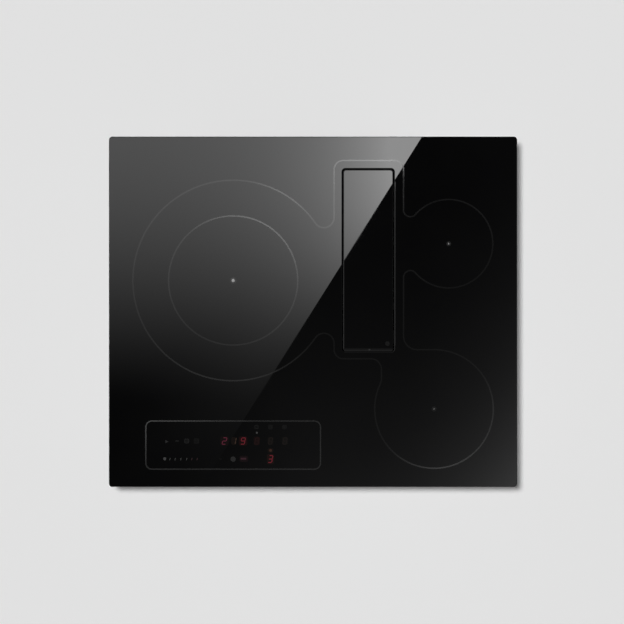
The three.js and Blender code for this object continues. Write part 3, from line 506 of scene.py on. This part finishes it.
flap_low, flap_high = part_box("flap_glass")
FRAME_X0, FRAME_X1 = flap_low.x - 13.9 * MM, flap_high.x + 15.6 * MM
FRAME_Y0, FRAME_Y1 = flap_low.y - 10.3 * MM, flap_high.y + 13.95 * MM
FRAME_CORNER = 13.5 * MM
LEFT_FILLET, REAR_FILLET, STEP_FILLET, FOOT_FILLET, NECK_FILLET = (r * MM for r in (15, 10, 20, 15.5, 20))
FOOT_X = FRONT.x - 77.3 * MM  # the short straight stretch between foot and neck


def angle(a, b):
    """The heading from a to b, in degrees."""
    return math.degrees(math.atan2(b[1] - a[1], b[0] - a[0]))


def zone_outline():
    """The one closed line round the flap, the left zone, the rear zone and the front zone, run clockwise."""
    c = FRAME_CORNER
    rise = math.sqrt((REAR_RADIUS + REAR_FILLET) ** 2 - (REAR.x - FRAME_X1 - REAR_FILLET) ** 2)
    rear_up = (FRAME_X1 + REAR_FILLET, REAR.y + rise)
    rear_down = (FRAME_X1 + REAR_FILLET, REAR.y - rise)
    crown = FRONT.y + FRONT_RADIUS
    step = (FRAME_X1 + STEP_FILLET, crown + STEP_FILLET)
    foot = (FOOT_X - FOOT_FILLET, FRAME_Y0 - FOOT_FILLET)
    rise = math.sqrt((FRONT_RADIUS + NECK_FILLET) ** 2 - (FRONT.x - FOOT_X + NECK_FILLET) ** 2)
    neck = (FOOT_X - NECK_FILLET, FRONT.y + rise)
    reach = math.sqrt((LEFT_RADIUS + LEFT_FILLET) ** 2 - (FRAME_X0 - LEFT_FILLET - LEFT.x) ** 2)
    left_down = (FRAME_X0 - LEFT_FILLET, LEFT.y - reach)
    left_up = (FRAME_X0 - LEFT_FILLET, LEFT.y + reach)
    a_rear = angle(REAR, rear_up)
    a_front = angle(FRONT, neck)
    a_left = angle(LEFT, left_up)
    return (
        arc((FRAME_X0 + c, FRAME_Y1 - c), c, 180, 90)
        + arc((FRAME_X1 - c, FRAME_Y1 - c), c, 90, 0)
        + arc(rear_up, REAR_FILLET, 180, 360 + angle(rear_up, REAR))
        + arc(REAR, REAR_RADIUS, a_rear, -a_rear, 2.0)
        + arc(rear_down, REAR_FILLET, angle(rear_down, REAR), 180)
        + arc(step, STEP_FILLET, 180, 270)
        + arc(FRONT, FRONT_RADIUS, 90, a_front - 360, 2.0)
        + arc(neck, NECK_FILLET, angle(neck, FRONT), 0)
        + arc(foot, FOOT_FILLET, 0, 90)
        + arc((FRAME_X0 + c, FRAME_Y0 + c), c, 270, 180)
        + arc(left_down, LEFT_FILLET, 0, angle(left_down, LEFT))
        + arc(LEFT, LEFT_RADIUS, -a_left, a_left - 360, 1.5)
        + arc(left_up, LEFT_FILLET, angle(left_up, LEFT), 0)
    )


# The zone line and the ring are lighter in places by painted highlights, where they would catch reflected light.
OUTLINE_PAINTED_HIGHLIGHTS = (
    ((-0.150, -0.097), (0.195, 0.190), 0.0115),
    ((0.196, -0.229), (0.103, 0.103), 0.026),
    ((0.263, -0.160), (0.059, 0.074), 0.008),
    ((0.132, 0.083), (0.103, 0.162), 0.0022),
    ((0.132, 0.166), (0.044, 0.044), 0.0060),
    ((0.238, 0.142), (0.096, 0.096), 0.0030),
    ((-0.041, 0.175), (0.066, 0.066), 0.046),
    ((0.063, 0.221), (0.088, 0.066), 0.037),
)
RING_PAINTED_HIGHLIGHT = ((-0.076, 0.131), (0.122, 0.122), 0.062)
outline_enamel_and_highlights = make_print("zone_enamel_with_painted_highlights", 0.0028, 0.0041, *OUTLINE_PAINTED_HIGHLIGHTS)
ring_enamel_and_highlight = make_print("ring_enamel_and_highlight", 0.0055, 0.0076, RING_PAINTED_HIGHLIGHT)
line_mark("zone_outline_print", zone_outline(), LINE, outline_enamel_and_highlights)
line_mark("left_inner_ring_print", circle(LEFT, LEFT_INNER_RADIUS, 2.0), LINE, ring_enamel_and_highlight)

panel_low, panel_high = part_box("touch_frame")
PANEL_CORNER, PANEL_LINE = 9 * MM, 1.7 * MM
# The panel frame gets a painted highlight at its left rear corner.
PANEL_PAINTED_HIGHLIGHT = ((panel_low.x, panel_high.y), (0.175, 0.085), 0.034)
panel_outline = rounded(panel_low.x, panel_low.y, panel_high.x, panel_high.y, PANEL_CORNER)
line_mark("panel_frame_print", panel_outline, PANEL_LINE, make_print("panel_enamel_and_highlight", 0.0137, 0.0172, PANEL_PAINTED_HIGHLIGHT))

# A thin bright strip along the right edge of the opening, just outside its bevel, is a painted highlight of the
# bevel's gleam, lighter still near its rear end.
EDGE_X, EDGE_WIDE = flap_high.x + 3.0 * MM, 0.9 * MM
EDGE_Y0, EDGE_Y1 = -49.5 * MM, 191 * MM
EDGE_PAINTED_HIGHLIGHT = ((0.1205, 0.150), (0.05, 0.12), 0.006)
edge_highlight_paint = make_print("painted_edge_highlight", 0.0100, 0.0125, EDGE_PAINTED_HIGHLIGHT, ior=GLASS_IOR)
mark("opening_edge_painted_highlight", [rectangle(EDGE_X, EDGE_Y0, EDGE_X + EDGE_WIDE, EDGE_Y1)], edge_highlight_paint)


def enamel_of(name, dark, light):
    """Enamel with a duller gloss than the printed lines have."""
    return plain_grain(name, dark, light, 0.22, 0.32, 900.0, 0.00001)


# Each zone's centre is a dot with a fainter edge: both radii in mm, then both tones.
for name, centre, core, wide, pale, faint in (
    ("left", LEFT, 2.3, 4.8, 0.275, 0.014),
    ("rear", REAR, 1.3, 3.6, 0.17, 0.010),
    ("front", FRONT, 1.2, 3.6, 0.070, 0.0065),
):
    dot = enamel_of(name + "_dot", 0.9 * pale, 1.1 * pale)
    edge = make_print(name + "_dot_edge", faint, faint * 1.2, ior=GLASS_IOR)
    mark(name + "_centre_mark", [circle(centre, core * MM, 20)], dot)
    mark(name + "_centre_edge", [circle(centre, wide * MM, 20)], edge, high=FAINT_HIGH)

# The dot on the flap shows where it is pressed.
PUSH, PUSH_RADIUS = (flap_high.x - 8.0 * MM, flap_low.y + 12.0 * MM), 3.4 * MM
push_enamel = make_print("dim_enamel", 0.0062, 0.0078, ior=GLASS_IOR)
mark("flap_push_mark", [circle(PUSH, PUSH_RADIUS, 15)], push_enamel, "flap")

# A small moulded pip marks the middle of the grip that is ground along the flap's front edge.
PIP_X, PIP_Y = (flap_low.x + flap_high.x) / 2 + 1.9 * MM, flap_low.y + 3.1 * MM
PIP_RINGS = ((2.3, 1.6, 1.5), (1.955, 1.36, 0.42), (1.15, 0.8, 0.25))  # half width, half depth, drop from the top
pip_rings = [
    [(PIP_X + wide * MM * x, PIP_Y + deep * MM * y) for x, y in circle((0, 0), 1, 20)] for wide, deep, _ in PIP_RINGS
]
pip = dome(pip_rings, [TOP - drop * MM for _, _, drop in PIP_RINGS])
piece("flap_grip_pip", *pip, enamel_of("pip_enamel", 0.012, 0.016), "flap")


# ---------------------------------------------------------------- touch panel
# Places in the panel are in mm, from its left and front edges.
def at(across, up):
    return panel_low.x + across * MM, panel_low.y + up * MM


SEGMENTS = {
    "a": ((-1, 1), (1, 1)),
    "b": ((1, 1), (1, 0)),
    "c": ((1, 0), (1, -1)),
    "d": ((-1, -1), (1, -1)),
    "e": ((-1, 0), (-1, -1)),
    "f": ((-1, 1), (-1, 0)),
    "g": ((-1, 0), (1, 0)),
}
DIGITS = {"1": "bc", "2": "abged", "3": "abcdg", "8": "abcdefg", "9": "abcdfg"}
DIGIT_WIDE, DIGIT_TALL = 5.0 * MM, 9.2 * MM
SEGMENT, SEGMENT_GAP = 1.25 * MM, 0.12 * MM
DIGIT_LEAN = math.tan(math.radians(11))


def digit(sign, across, up, wider=1.0, taller=1.0):
    """Outlines of the bars of one digit, which leans to the right."""
    cx, cy = at(across, up)
    w, t, half = DIGIT_WIDE / 2 * wider, DIGIT_TALL / 2 * taller, SEGMENT / 2
    bars = []
    for name in DIGITS[sign]:
        (ax, ay), (bx, by) = ((x * w, y * t) for x, y in SEGMENTS[name])
        length = math.dist((ax, ay), (bx, by))
        ux, uy = (bx - ax) / length, (by - ay) / length
        start, end = SEGMENT_GAP, length - SEGMENT_GAP
        upper = ((start, 0), (start + half, half), (end - half, half))
        lower = ((end, 0), (end - half, -half), (start + half, -half))
        outline = [(ax + ux * u - uy * v, ay + uy * u + ux * v) for u, v in upper + lower]
        bars.append([(cx + x + y * DIGIT_LEAN, cy + y) for x, y in outline])
    return bars


def oblong(across, up, wide, tall, lean=0.0):
    """Outline of a small bar, which may lean to the right."""
    cx, cy = at(across, up)
    w, t = wide * MM / 2, tall * MM / 2
    return [(cx + w * x + t * y * lean, cy + t * y) for x, y in rectangle(-1, -1, 1, 1)]


def field(across, up, wide, tall, corner):
    """Outline of a rounded field."""
    cx, cy = at(across, up)
    w, t = wide * MM / 2, tall * MM / 2
    return rounded(cx - w, cy - t, cx + w, cy + t, corner * MM)


ROW_KEYS, ROW_SLIDER, ROW_ZONES = 41.4, 14.8, 62.0  # how far up the panel's rows lie
main_digits = digit("9", 142.9, ROW_KEYS, 1.12) + digit("3", 183.3, ROW_SLIDER + 0.1, 1.05, 1.1)
unlit_digits = digit("8", 183.2, ROW_KEYS) + digit("8", 204.5, ROW_KEYS)
for name, outlines, look, colour in (
    ("digits_main", main_digits, "lit_red", (0.136, 0.012, 0.020)),
    ("digits_second", digit("2", 115.6, ROW_KEYS, 1.08, 1.04), "lit_red_low", (0.095, 0.014, 0.029)),
    ("digit_dim", digit("1", 129.6, ROW_KEYS), "lit_amber_low", (0.046, 0.027, 0.018)),
    ("digit_faint", digit("8", 163.3, ROW_KEYS), "lit_faint", (0.0100, 0.0022, 0.0022)),
    # The unlit segments are given a faint glow, which is painted light, as they are not lit.
    ("digits_unlit_painted_glow", unlit_digits, "unlit_segments_painted_glow", (0.0058, 0.0036, 0.0031)),
    ("point", [circle(at(183.4, 27.6), 2.1 * MM, 20)], "lit_point", (0.033, 0.014, 0.009)),
    ("dash", [oblong(143.5, 15.4, 8.2, 2.6)], "lit_pink", (0.033, 0.0118, 0.0175)),
):
    mark("display_" + name, outlines, make_lit(look, *colour), slot="display")

# The light spreads a little in the dark window round each sign. Round the two unlit signs this glow is painted
# light.
for name, across, up, wide, tall, colour in (
    ("two", 115.6, ROW_KEYS, 12.5, 13.5, (0.0026, 0.0, 0.0)),
    ("one", 129.2, ROW_KEYS, 7.5, 11.5, (0.0034, 0.0012, 0.0005)),
    ("nine", 142.9, ROW_KEYS, 12.5, 13.5, (0.0062, 0.0, 0.0)),
    ("faint", 163.0, ROW_KEYS, 9.0, 12.5, (0.0036, 0.0, 0.0)),
    ("unlit_1_painted_glow", 183.2, ROW_KEYS, 8.5, 11.5, (0.0014, 0.0006, 0.0)),
    ("unlit_2_painted_glow", 204.5, ROW_KEYS, 8.5, 11.5, (0.0016, 0.0012, 0.0008)),
    ("three", 183.3, ROW_SLIDER, 10.5, 15.0, (0.0050, 0.0003, 0.0)),
    ("point", 183.4, 27.6, 8.5, 6.5, (0.0034, 0.0006, 0.0)),
    ("dash", 144.0, 15.2, 12.5, 9.0, (0.0036, 0.0006, 0.0012)),
):
    glow = [field(across, up, wide, tall, 3.0)]
    mark("display_glow_" + name, glow, make_lit("glow_" + name, *colour), slot="display", high=FAINT_HIGH)


def slider(*places):
    """Outlines of the slider's leaning bars."""
    return [oblong(across, ROW_SLIDER, 1.0, 3.4, 0.25) for across in places]


bright_icon = enamel_of("bright_icon", 0.036, 0.043)
for name, outline, finish in (
    ("arrow_mark", [at(28.6, 38.2), at(33.4, 40.5), at(28.6, 42.8)], enamel_of("arrow_icon", 0.0105, 0.0135)),
    ("power_mark", circle(at(27.8, ROW_SLIDER + 0.5), 2.2 * MM, 15), bright_icon),
    ("key_dash", oblong(45.9, ROW_KEYS, 5.0, 1.5), enamel_of("dash_icon", 0.0042, 0.0056)),
    ("zone_point", circle(at(163.3, 53.6), 1.5 * MM, 20), bright_icon),
    ("clock_icon", circle(at(128.3, ROW_SLIDER), 3.8 * MM, 10), enamel_of("clock_icon", 0.0105, 0.0135)),
    ("minus_mark", oblong(110.0, ROW_SLIDER, 3.0, 0.8), enamel_of("dim_icon", 0.0016, 0.0024)),
):
    mark("panel_" + name, [outline], finish)
mark("panel_icons_grey", slider(35.4, 43.2, 51.4, 60.0), enamel_of("key_icon", 0.030, 0.038))
mark("panel_slider_end", slider(67.6, 75.4), make_lit("lit_rose_low", 0.031, 0.016, 0.018), slot="display")


def glossy_icon(name, tone):
    return make_print(name, 0.85 * tone, 1.15 * tone, ior=GLASS_IOR)


# The square keys have an outline and a field that is filled a little dimmer: the size in mm, then both tones.
for name, across, up, size, tone, inner in (
    ("lock_icon", 60.0, ROW_KEYS, 5.8, 0.0105, 0.0048),
    ("fan_icon", 74.4, ROW_KEYS, 6.6, 0.0045, 0.0035),
    ("zone_icon_left", 162.6, ROW_ZONES, 4.8, 0.0065, 0.0022),
    ("zone_icon_rear", 183.2, ROW_ZONES, 5.4, 0.0046, 0.0041),
    ("zone_icon_front", 203.8, ROW_ZONES, 5.4, 0.0049, 0.0045),
):
    line_mark("panel_" + name, field(across, up, size, size, 1.2), 1.1 * MM, glossy_icon(name, tone))
    within = field(across, up, size - 1.2, size - 1.2, 0.8)
    mark("panel_" + name + "_field", [within], glossy_icon(name + "_field", inner))


# ---------------------------------------------------------------- metal and moulded details
WIRE, WIRE_SIDES = 0.8 * MM, 8


def tube(path, closed):
    """A round wire along level points (x, y, z)."""
    vertices, faces = [], []
    count = len(path)
    for i, (x, y, z) in enumerate(path):
        before = path[i - 1] if closed or i else path[i]
        after = path[(i + 1) % count] if closed or i < count - 1 else path[i]
        heading = Vector(after) - Vector(before)
        across = heading.cross(Vector((0, 0, 1))).normalized()
        for k in range(WIRE_SIDES):
            turn = 2 * math.pi * k / WIRE_SIDES
            outward = across * math.cos(turn) + Vector((0, 0, math.sin(turn)))
            vertices.append(Vector((x, y, z)) + outward * WIRE)
    for i in range(count if closed else count - 1):
        this, other = i * WIRE_SIDES, (i + 1) % count * WIRE_SIDES
        for k in range(WIRE_SIDES):
            m = (k + 1) % WIRE_SIDES
            faces.append([this + k, other + k, other + m, this + m])
    if not closed:
        faces += [list(range(WIRE_SIDES)), [(count - 1) * WIRE_SIDES + k for k in range(WIRE_SIDES)]]
    return vertices, faces


def together(*parts):
    """All parts as one: each is its vertices and faces."""
    vertices, faces = [], []
    for more, sides in parts:
        first = len(vertices)
        vertices += [tuple(v) for v in more]
        faces += [[first + i for i in face] for face in sides]
    return vertices, faces


def turned(part, place):
    """The part with each of its points moved by place(x, y, z)."""
    vertices, faces = part
    return [place(*v) for v in vertices], faces


steel, black, zinc = (finishes[k] for k in ("steel", "black_plastic", "zinc_sheet"))
tray_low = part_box("hob_tray")[0]

# Wire guards over the two cooling intakes, spot-welded to the underside of the tray.
GUARD_RINGS, GUARD_BAR = (9, 17, 25, 33, 39), 40 * MM
for side in ("left", "right"):
    hub = middle(side + "_fan_rotor").xy
    level = tray_low.z - WIRE
    wires = [tube([(*p, level) for p in circle(hub, r * MM, 10)], True) for r in GUARD_RINGS]
    for turn in (math.radians(45), math.radians(135)):
        dx, dy = GUARD_BAR * math.cos(turn), GUARD_BAR * math.sin(turn)
        wires.append(tube([(hub.x - dx, hub.y - dy, level), (hub.x + dx, hub.y + dy, level)], False))
    piece(side + "_intake_guard", *together(*wires), steel, slot="steel")

# The screws' cross slots are dark crosses that stand just out of their heads, so that they show: their dark colour
# is painted shade in place of a recess.
SLOT_WIDE, SLOT_PROUD, SLOT_DEEP = 0.8 * MM, 0.03 * MM, 0.5 * MM


def cross_slot(reach, low, high):
    """A cross that reaches so far from the middle, between two levels."""
    s, w = reach, SLOT_WIDE / 2
    right = [(w, s), (w, w), (s, w), (s, -w), (w, -w), (w, -s)]
    return extruded([right + [(-x, -y) for x, y in right]], low, high)


slot_shade = plain_grain("painted_slot_shade", 0.02, 0.05, 0.5, 0.7, 900.0, 0.00003)
slots = []
for n in (1, 2, 3, 4):
    low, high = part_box(f"casing_screw_{n}")
    cx, cy = (low.x + high.x) / 2, (low.y + high.y) / 2
    slot = cross_slot(2.0 * MM, low.z - SLOT_PROUD, low.z + SLOT_DEEP)
    slots.append(turned(slot, lambda x, y, z: (cx + x, cy + y, z)))
piece("casing_screw_slots", *together(*slots), slot_shade, slot="steel")

slots = []
for end in ("front", "rear"):
    for side, way in (("left", -1), ("right", 1)):
        low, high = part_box(f"{end}_{side}_clamp_screw")
        face = high.x if way > 0 else low.x
        cy, cz = (low.y + high.y) / 2, (low.z + high.z) / 2
        slot = cross_slot(1.9 * MM, -SLOT_DEEP, SLOT_PROUD)
        slots.append(turned(slot, lambda x, y, z: (face + way * z, cy + x, cz + y)))
piece("clamp_screw_slots", *together(*slots), slot_shade, slot="steel")

# The terminal lid's two screws, whose slots carry the same painted shade.
LID_SCREW_IN, LID_SCREW_RADIUS, LID_SCREW_TALL = 7 * MM, 3.2 * MM, 1.4 * MM
lid_low, lid_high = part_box("terminal_lid")
face = lid_low.z - LID_SCREW_TALL
heads, slots = [], []
for cx, cy in (
    (lid_low.x + LID_SCREW_IN, lid_low.y + LID_SCREW_IN),
    (lid_high.x - LID_SCREW_IN, lid_high.y - LID_SCREW_IN),
):
    heads.append(extruded([circle((cx, cy), LID_SCREW_RADIUS, 15)], face, lid_low.z + 0.3 * MM))
    slot = cross_slot(2.0 * MM, face - SLOT_PROUD, face + 0.4 * MM)
    slots.append(turned(slot, lambda x, y, z: (cx + x, cy + y, z)))
piece("terminal_lid_screws", *together(*heads), steel, slot="steel")
piece("terminal_lid_slots", *together(*slots), slot_shade, slot="steel")

# Stiffening beads pressed into the tray's front and left walls, which have no air slots, and its floor.
BEAD_PROUD, BEAD_WIDE = 1.0 * MM, 9 * MM
BEAD_LEVELS = ((0.0, 1.0), (0.45, 0.86), (0.85, 0.6), (1.0, 0.3))  # shares of its height and of its width
WALL_BEAD_Z = 176 * MM


def bead(length):
    """A pressed bead with round ends and sloping sides, lying along x on the plane z = 0."""
    end = (length - BEAD_WIDE) / 2
    rings = []
    for _, share in BEAD_LEVELS:
        r = BEAD_WIDE / 2 * share
        rings.append(arc((end, 0), r, -90, 90, 20) + arc((-end, 0), r, 90, 270, 20))
    return dome(rings, [BEAD_PROUD * rise for rise, _ in BEAD_LEVELS])


beads = []
for cx in (-150 * MM, 0, 150 * MM):
    beads.append(turned(bead(118 * MM), lambda x, y, z: (cx + x, tray_low.y - z, WALL_BEAD_Z + y)))
for cy in (-80 * MM, 80 * MM):
    beads.append(turned(bead(110 * MM), lambda x, y, z: (tray_low.x - z, cy + x, WALL_BEAD_Z + y)))
for cy in (-215 * MM, -180 * MM, -145 * MM):
    beads.append(turned(bead(420 * MM), lambda x, y, z: (x, cy + y, tray_low.z - z)))
for cx in (185 * MM, 240 * MM):
    beads.append(turned(bead(130 * MM), lambda x, y, z: (cx + y, 120 * MM + x, tray_low.z - z)))
piece("tray_beads", *together(*beads), zinc, slot="zinc_sheet")

# Moulded ribs on the casing's walls.
case_low, case_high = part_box("lower_casing")
wall_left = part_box("scroll_base")[0].x - 6 * MM
wall_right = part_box("filter_well")[1].x + 7.9 * MM
RIB, RIB_PROUD, RIB_ROOT = 2.2 * MM, 1.6 * MM, 0.2 * MM
RIB_Z0, RIB_Z1 = 8 * MM, 138 * MM
SILL_Z = 40 * MM  # a level rib runs below the front wall's upright ones
ribs = []


def rib(x0, y0, z0, x1, y1, z1):
    ribs.append(extruded([rectangle(x0, y0, x1, y1)], z0, z1))


front0, front1 = case_low.y - RIB_PROUD, case_low.y + RIB_ROOT
for i in range(13):
    x = (-164 + i * 24) * MM
    rib(x, front0, SILL_Z + 4 * MM, x + RIB, front1, RIB_Z1)
rib(-170 * MM, front0, SILL_Z, 130 * MM, front1, SILL_Z + RIB)
for i in range(11):
    y = (-76 + i * 28) * MM
    rib(wall_left - RIB_PROUD, y, RIB_Z0, wall_left + RIB_ROOT, y + RIB, RIB_Z1)
    rib(wall_right - RIB_ROOT, y, RIB_Z0, wall_right + RIB_PROUD, y + RIB, RIB_Z1)
for x in (66 * MM, 92 * MM, 118 * MM):
    rib(x, case_high.y - RIB_ROOT, RIB_Z0, x + RIB, case_high.y + RIB_PROUD, RIB_Z1)
piece("casing_ribs", *together(*ribs), black)


# ---------------------------------------------------------------- camera and stage
GLASS_CENTRE = (glass_low + glass_high).xy / 2
CAMERA_HEIGHT = 20.0
CAMERA_SHIFT = (-1.47 * MM, -0.35 * MM)  # the glass is not quite in the middle of the picture
FRAME_WIDTH = 917.4 * MM  # what the picture spans at the level of the glass
camera_data = bpy.data.cameras.new("camera")
camera_data.sensor_width = 36.0
camera_data.lens = 36.0 * CAMERA_HEIGHT / FRAME_WIDTH
camera_data.clip_start = 1.0
camera_data.clip_end = 100.0
camera = bpy.data.objects.new("camera", camera_data)
camera.location = (GLASS_CENTRE.x + CAMERA_SHIFT[0], GLASS_CENTRE.y + CAMERA_SHIFT[1], TOP + CAMERA_HEIGHT)
bpy.context.scene.collection.objects.link(camera)
bpy.context.scene.camera = camera

PALE = (0.758, 0.758, 0.758, 1.0)
KEY_SHARE = 0.80  # of the light on a level face
SHADE = 0.121  # what the camera sees of the floor where the key doesn't reach


def staged(name, x0, y0, x1, y1, z, order, finish):
    """A level sheet of the stage, whose upper side shows with the order (0, 1, 2, 3)."""
    made = new_object(name, [(x, y, z) for x, y in rectangle(x0, y0, x1, y1)], [order], finish)
    return made


def make_floor():
    white = (1.0, 1.0, 1.0, 1.0)
    g = Graph("pale_floor", Base_Color=PALE, Roughness=1.0, Specular_IOR_Level=0.0, Emission_Color=white)
    path = g.node("ShaderNodeLightPath")
    g.link(g.math("MULTIPLY", path.outputs["Is Camera Ray"], SHADE), g.shader.inputs["Emission Strength"])
    # Seen from below the floor is clear, so that the underside can be looked at.
    clear = g.node("ShaderNodeBsdfTransparent")
    mixed = g.node("ShaderNodeMixShader")
    g.link(g.node("ShaderNodeNewGeometry").outputs["Backfacing"], mixed.inputs[0])
    g.link(g.shader.outputs[0], mixed.inputs[1])
    g.link(clear.outputs[0], mixed.inputs[2])
    g.link(mixed.outputs[0], g.output.inputs[0])
    return g.material


FLOOR_HALF = 12.0
FLOOR_Z = -0.2 * MM  # just below the casing's flat base
floor = staged("floor", -FLOOR_HALF, -FLOOR_HALF, FLOOR_HALF, FLOOR_HALF, FLOOR_Z, (0, 1, 2, 3), make_floor())
floor.visible_glossy = False  # it would black out the gloss of the base that stands on it

# A wide soft panel of light hangs over the glass. Only its mirror image in gloss is seen. It ends in one
# straight slanting edge, is brightest along it, and fades towards the front.
PANEL_HEIGHT = 2.0
PANEL_BRIGHTEST = 6.62
MIRROR = 1 + PANEL_HEIGHT / CAMERA_HEIGHT


def panel_point(x, y):
    """The point of the light panel, in metres, that is seen mirrored at (x, y) mm on the glass."""
    home = camera.location
    return home.x + (x * MM - home.x) * MIRROR, home.y + (y * MM - home.y) * MIRROR


def make_light_panel():
    g = Graph("soft_panel")
    emission = g.node("ShaderNodeEmission")
    g.link(emission.outputs[0], g.output.inputs[0])
    split = g.node("ShaderNodeSeparateXYZ")
    g.link(g.place, split.inputs[0])
    x, y = split.outputs[0], split.outputs[1]

    def minus(value, start):
        return g.math("SUBTRACT", value, start)

    def plus(first, *others):
        for other in others:
            first = g.math("ADD", first, other)
        return first

    def times(a, b):
        return g.math("MULTIPLY", a, b)

    def reach(value, width, power):
        """How far value is from 0, in widths of so many mm."""
        return g.math("POWER", g.math("DIVIDE", g.math("ABSOLUTE", value), width * MM * MIRROR), power)

    def fade(distance, strength):
        return times(g.math("EXPONENT", times(distance, -1.0)), strength)

    def glow(across, up, wide, tall, power, strength):
        """A soft spot of light, placed and sized in mm on the glass."""
        cx, cy = panel_point(across, up)
        return fade(plus(reach(minus(x, cx), wide, power), reach(minus(y, cy), tall, power)), strength)

    # Two points of the slanting edge. It faces the left rear.
    ax, ay = panel_point(157.4, 253.1)
    bx, by = panel_point(-79.4, -123.0)
    size = math.hypot(bx - ax, by - ay)
    inward = plus(times(minus(x, ax), (by - ay) / size), times(minus(y, ay), -(bx - ax) / size))
    front, rear = panel_point(0, -144)[1], panel_point(0, 309)[1]
    along = g.spread(y, 0.0, 1.0, front, rear)
    base = g.spread(y, 0.0, 1.9, front, rear, "SMOOTHSTEP")
    swell = times(fade(reach(inward, 87, 1.05), 4.9), g.math("POWER", along, 1.35))
    # The edge stays faintly lit for a little way past the front end of the rest.
    tail = fade(plus(reach(minus(y, panel_point(0, -60)[1]), 104, 2.0), reach(inward, 104, 2.0)), 0.13)
    bright = g.math("MINIMUM", plus(times(base, plus(swell, 1.0)), tail), PANEL_BRIGHTEST)
    lit = times(bright, g.math("GREATER_THAN", inward, 0.0))
    # Outside it are a glow at the right front corner, two wide faint ones along the front, and a trace all over.
    corner_glow = glow(300, -257, 103, 128, 1.0, 0.86)
    front_glows = plus(glow(3, -208, 141, 200, 2.0, 0.055), glow(-40, -290, 160, 75, 2.0, 0.028))
    g.link(plus(lit, corner_glow, front_glows, 0.025), emission.inputs["Strength"])
    return g.material


x0, y0 = panel_point(-340, -300)
x1, y1 = panel_point(340, 300)
light_panel = staged("light_panel", x0, y0, x1, y1, TOP + PANEL_HEIGHT, (3, 2, 1, 0), make_light_panel())
for ray in ("camera", "diffuse", "transmission", "shadow"):
    setattr(light_panel, "visible_" + ray, False)


def sun(name, strength, tilt, heading, spread):
    """A far lamp whose light comes tilted from straight down, out of the heading, with all angles in degrees."""
    data = bpy.data.lights.new(name, "SUN")
    data.energy = strength * math.pi
    data.angle = math.radians(spread)
    made = bpy.data.objects.new(name, data)
    bpy.context.scene.collection.objects.link(made)
    t, h = math.radians(tilt), math.radians(heading)
    source = Vector((math.sin(t) * math.cos(h), math.sin(t) * math.sin(h), math.cos(t)))
    made.rotation_mode = "QUATERNION"
    made.rotation_quaternion = source.to_track_quat("Z", "Y")
    made.visible_glossy = False
    return made


sun("key", KEY_SHARE, 3.2, 139, 3.1)
# The other lamps are soft, and light the object and not the floor, so that the floor stays even.
object_only = bpy.data.collections.new("object_only")
object_only.objects.link(floor)
object_only.collection_objects[0].light_linking.link_state = "EXCLUDE"
SIDE_TILT, SIDE_SHARE, BELOW_SHARE, SOFT = 70, 0.05, 0.22, 25
for side, heading in (("right", 0), ("rear", 90), ("left", 180), ("front", 270)):
    lamp = sun("fill_" + side, SIDE_SHARE / math.cos(math.radians(SIDE_TILT)), SIDE_TILT, heading, SOFT)
    lamp.light_linking.receiver_collection = object_only
lamp = sun("fill_below", BELOW_SHARE, 165, 225, SOFT)
lamp.light_linking.receiver_collection = object_only
lamp.light_linking.blocker_collection = object_only


def make_world():
    """Pale to the camera, faint to matt faces, and a soft light in the mirror of glossy ones."""
    world = bpy.data.worlds.new("studio")
    bpy.context.scene.world = world
    world.use_nodes = True
    tree = world.node_tree
    tree.nodes.clear()

    def node(kind, **settings):
        made = tree.nodes.new(kind)
        for key, value in settings.items():
            setattr(made, key, value)
        return made

    def link(*pairs):
        for source, target in pairs:
            tree.links.new(source, target)

    def ranged(source, values, kind="LINEAR"):
        made = node("ShaderNodeMapRange", interpolation_type=kind)
        link((source, made.inputs[0]))
        for index, value in enumerate(values, 1):
            made.inputs[index].default_value = value
        return made.outputs[0]

    output = node("ShaderNodeOutputWorld")
    path = node("ShaderNodeLightPath")
    way = node("ShaderNodeTexCoord")
    split = node("ShaderNodeSeparateXYZ")
    link((way.outputs["Generated"], split.inputs[0]))
    lean = node("ShaderNodeVectorMath", operation="DOT_PRODUCT")
    link((way.outputs["Generated"], lean.inputs[0]))
    lean.inputs[1].default_value = (-0.75, -0.40, 0.0)
    # The mirrored light fades from the sides up to the top, and from the left front round to the right rear.
    mirrored = node("ShaderNodeMath", operation="MULTIPLY")
    rise = ranged(split.outputs[2], (0.55, 0.985, 0.62, 0.05), "SMOOTHSTEP")
    share = ranged(lean.outputs["Value"], (-0.58, 1.22, 0.2, 2.0))
    link((rise, mirrored.inputs[0]), (share, mirrored.inputs[1]))
    plain, seen, gloss = (node("ShaderNodeBackground") for _ in range(3))
    plain.inputs["Strength"].default_value = 0.04
    seen.inputs["Color"].default_value = PALE
    seen.inputs["Strength"].default_value = 1.0
    link((mirrored.outputs[0], gloss.inputs["Strength"]))
    either = node("ShaderNodeMath", operation="MAXIMUM")
    link((path.outputs["Is Glossy Ray"], either.inputs[0]), (path.outputs["Is Transmission Ray"], either.inputs[1]))
    first, second = node("ShaderNodeMixShader"), node("ShaderNodeMixShader")
    link((either.outputs[0], first.inputs[0]), (path.outputs["Is Camera Ray"], second.inputs[0]))
    link((plain.outputs[0], first.inputs[1]), (gloss.outputs[0], first.inputs[2]))
    link((first.outputs[0], second.inputs[1]), (seen.outputs[0], second.inputs[2]))
    link((second.outputs[0], output.inputs[0]))


make_world()
bpy.context.scene.view_settings.view_transform = "Standard"
